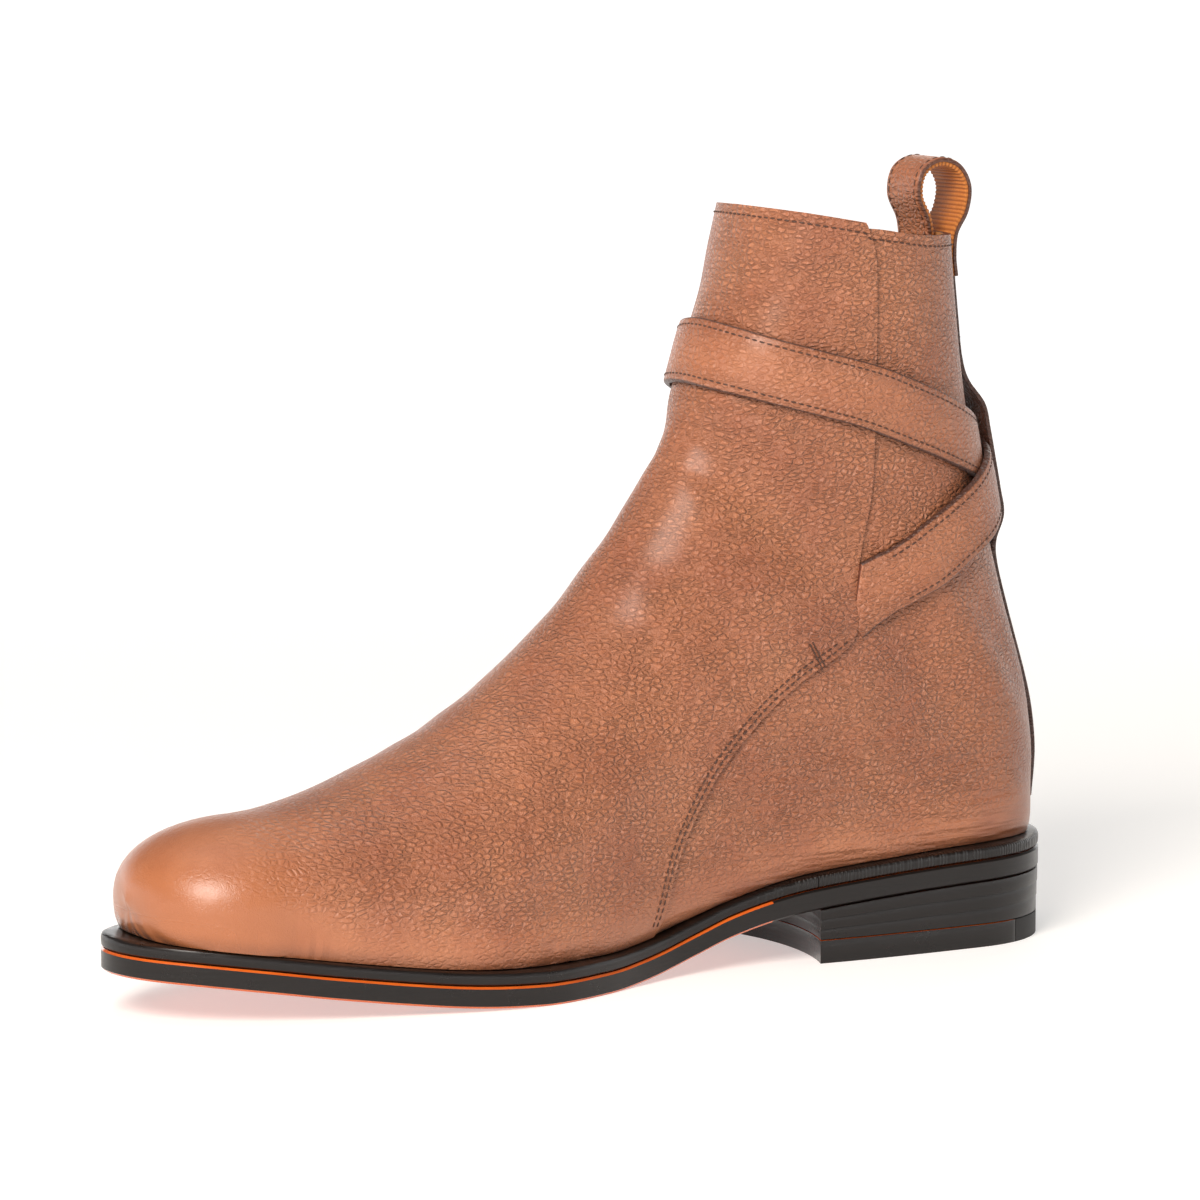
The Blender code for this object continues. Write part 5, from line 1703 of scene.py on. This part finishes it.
def loop_line(steps):
    """The band's middle line, (x, z), from outside the back seam up over the collar and down its inside."""
    collar = QUARTER_MEDIAL[-1][1] * BOOT_HEIGHT
    half = PULL_LOOP_THICKNESS / 2
    outer = GAP + half
    inner = -(UPPER_WALL + PULL_LOOP_INNER_GAP + half)
    top = skin_at(180, collar)
    lean = (top - skin_at(180, collar - PULL_LOOP_INNER_LEG)) / PULL_LOOP_INNER_LEG
    line = [
        (top.x - lean.x * PULL_LOOP_OUTER_LEG + outer, collar - PULL_LOOP_OUTER_LEG),
        (top.x - lean.x * PULL_LOOP_OUTER_LEG / 2 + outer, collar - PULL_LOOP_OUTER_LEG / 2),
    ]
    line += [(top.x + outer + a * PULL_LOOP_RISE, collar + b * PULL_LOOP_RISE) for a, b in PULL_LOOP]
    line += [
        (top.x + inner, collar - PULL_LOOP_INNER_LEG * 0.1),
        (top.x - lean.x * PULL_LOOP_INNER_LEG / 2 + inner, collar - PULL_LOOP_INNER_LEG / 2),
        (top.x - lean.x * PULL_LOOP_INNER_LEG + inner, collar - PULL_LOOP_INNER_LEG),
    ]
    return read_evenly(line, steps)


def outward_at(line, k):
    """Direction square to a line of (x, z) points, away from the loop's middle."""
    before = line[max(k - 1, 0)]
    after = line[min(k + 1, len(line) - 1)]
    forward = Vector((after[0] - before[0], 0.0, after[1] - before[1])).normalized()
    return Vector((forward.z, 0.0, -forward.x))


def loop_layer(name, profile, materials, relief=0.0):
    """Sweeps a section, (across, out) in metres from the band's middle, round the loop; relief ribs it."""
    smooth = loop_line(LOOP_STEPS)
    points = []
    run = 0.0
    waves = []
    for k, (x, z) in enumerate(smooth):
        run += math.dist((x, z), smooth[max(k - 1, 0)])
        wave = 0.5 + 0.5 * math.cos(2 * math.pi * run / WEBBING_PITCH)
        waves += [wave] * len(profile)
        for across, out in profile:
            rib = relief * wave if out < -relief else 0.0
            points.append(Vector((x, across, z)) + outward_at(smooth, k) * (out + rib))
    faces = solid_faces(len(smooth), len(profile))
    return new_piece(name, points, faces, materials, 60.0), waves


def make_pull_loop():
    half = PULL_LOOP_WIDTH / 2
    thick = PULL_LOOP_THICKNESS / 2
    split = thick - PULL_LOOP_THICKNESS * (1 - WEBBING_SHARE)
    leather = ((-half, split), (-half, thick * 0.75), (-half * 0.95, thick), (-half * 0.7, thick * 1.02),
               (0.0, thick * 1.06), (half * 0.7, thick * 1.02), (half * 0.95, thick), (half, thick * 0.75),
               (half, split))
    outside, _ = loop_layer("pull_loop_leather", leather, [grained_calf])
    total = len(outside.data.vertices)
    edge = [0.85 if abs(v.co.y) > half * 0.97 else 0.0 for v in outside.data.vertices]
    store(outside, "stain_and_shade", edge)
    store(outside, "grain", [0.6] * total)
    store(outside, "burnish", [0.1] * total)
    belongs(outside, "grained_calf", "pull_loop")
    wide = half * 0.95
    band = ((wide, split - 0.00005), (-wide, split - 0.00005), (-wide, -thick * 0.8), (-wide * 0.97, -thick),
            (wide * 0.97, -thick), (wide, -thick * 0.8))
    inside, waves = loop_layer("pull_loop_webbing", band, [webbing], WEBBING_RELIEF)
    # Painted shade in the sunk grooves between the ribs.
    store(inside, "rib_groove_shade", [0.75 * wave**2 for wave in waves])
    belongs(inside, "loop_webbing")
    smooth = loop_line(LOOP_STEPS // 3)
    rows = []
    for side in (-1, 1):
        across = side * (half - LOOP_ROW)
        rows.append([
            Vector((smooth[k][0], across, smooth[k][1])) + outward_at(smooth, k) * (thick * 1.04)
            for k in range(2, len(smooth) - 1)
        ])
    sew("pull_loop_stitches", rows, "grained_calf", *LOOP_THREAD)


make_pull_loop()


# Buckle
# A rounded oblong frame of cast brass, aged dark and rubbed bright on its edges. The long strap goes
# through it.
BUCKLE_BAR = 0.0028
BUCKLE_CORNER = 0.0038
BUCKLE_TURNS = (72.0, 102.0)
BUCKLE_UP = 0.760
BUCKLE_LIFTS = (0.0068, 0.0023)
BUCKLE_SIDE_PLAY = 0.0017
BUCKLE_DEPTH = 0.0022
BUCKLE_SQUARENESS = 3.2
CORNER_STEPS = 12
BAR_SIDES = 16

# Antique brass: cast, dipped brown and rubbed back, satin, bright where it is touched.
antique_brass, tree, shader = finish("antique brass", Metallic=1.0, Roughness=0.3)
place_in = add(tree, "ShaderNodeTexCoord").outputs["Object"]
patina = add(
    tree, "ShaderNodeTexNoise", {"Vector": place_in, "Scale": 240.0, "Detail": 3.0, "Roughness": 0.5}
)
old = add(tree, "ShaderNodeMapRange", {"Value": patina, 1: 0.38, 2: 0.62, 3: 0.0, 4: 1.0})
tint = add(tree, "ShaderNodeMix", {0: old, 6: linear("6E5F3D"), 7: linear("94875F")}, data_type="RGBA")
tree.links.new(tint.outputs[2], shader.inputs["Base Color"])
dull = add(tree, "ShaderNodeMapRange", {"Value": patina, 1: 0.3, 2: 0.7, 3: 0.42, 4: 0.24})
tree.links.new(dull.outputs[0], shader.inputs["Roughness"])


def make_buckle():
    front = lifted(BUCKLE_TURNS[0], BUCKLE_UP * BOOT_HEIGHT, BUCKLE_LIFTS[0])
    hinge = lifted(BUCKLE_TURNS[1], BUCKLE_UP * BOOT_HEIGHT, BUCKLE_LIFTS[1])
    middle = (front + hinge) / 2
    along = (hinge - front).normalized()
    half_length = (hinge - front).length / 2
    out = middle - skin_at(sum(BUCKLE_TURNS) / 2, BUCKLE_UP * BOOT_HEIGHT)
    out = (out - along * out.dot(along)).normalized()
    side = along.cross(out)
    half_across = STRAP_WIDTH / 2 + BUCKLE_SIDE_PLAY + BUCKLE_BAR / 2
    path = []
    for quarter, (end, edge) in enumerate(((1, 1), (-1, 1), (-1, -1), (1, -1))):
        for k in range(CORNER_STEPS):
            angle = math.pi / 2 * (quarter + k / (CORNER_STEPS - 1))
            a = end * (half_length - BUCKLE_CORNER) + BUCKLE_CORNER * math.cos(angle)
            b = edge * (half_across - BUCKLE_CORNER) + BUCKLE_CORNER * math.sin(angle)
            path.append((a, b, math.cos(angle), math.sin(angle)))
    profile = []
    power = 2 / BUCKLE_SQUARENESS
    for k in range(BAR_SIDES):
        turn = 2 * math.pi * k / BAR_SIDES
        wide = math.copysign(abs(math.cos(turn)) ** power, math.cos(turn))
        tall = math.copysign(abs(math.sin(turn)) ** power, math.sin(turn))
        profile.append((BUCKLE_BAR / 2 * wide, BUCKLE_DEPTH / 2 * tall))
    points = [
        middle + along * (a + cosine * reach) + side * (b + sine * reach) + out * rise
        for a, b, cosine, sine in path for reach, rise in profile
    ]
    faces = tube_faces(len(path), len(profile), closed=True)
    buckle = new_piece("buckle_frame_finished", points, faces, [antique_brass], 60.0)
    belongs(buckle, "antique_brass", "buckle_frame")


make_buckle()


# Sole stitching
# The lockstitch lies at the bottom of the channel, a thick waxed thread seen as short dark beads.
SOLE_THREAD = (0.0032, 0.0026, 0.0007)


def make_sole_stitches():
    ring = outline(CHANNEL_INSET, HEEL_LENGTH - 0.002, BOOT_LENGTH, 160)
    row = [place(a, c, underside(a) + CHANNEL_DEPTH * 0.7) for a, c in ring]
    sew("sole_stitches", [row], "sole_leather", *SOLE_THREAD)


make_sole_stitches()
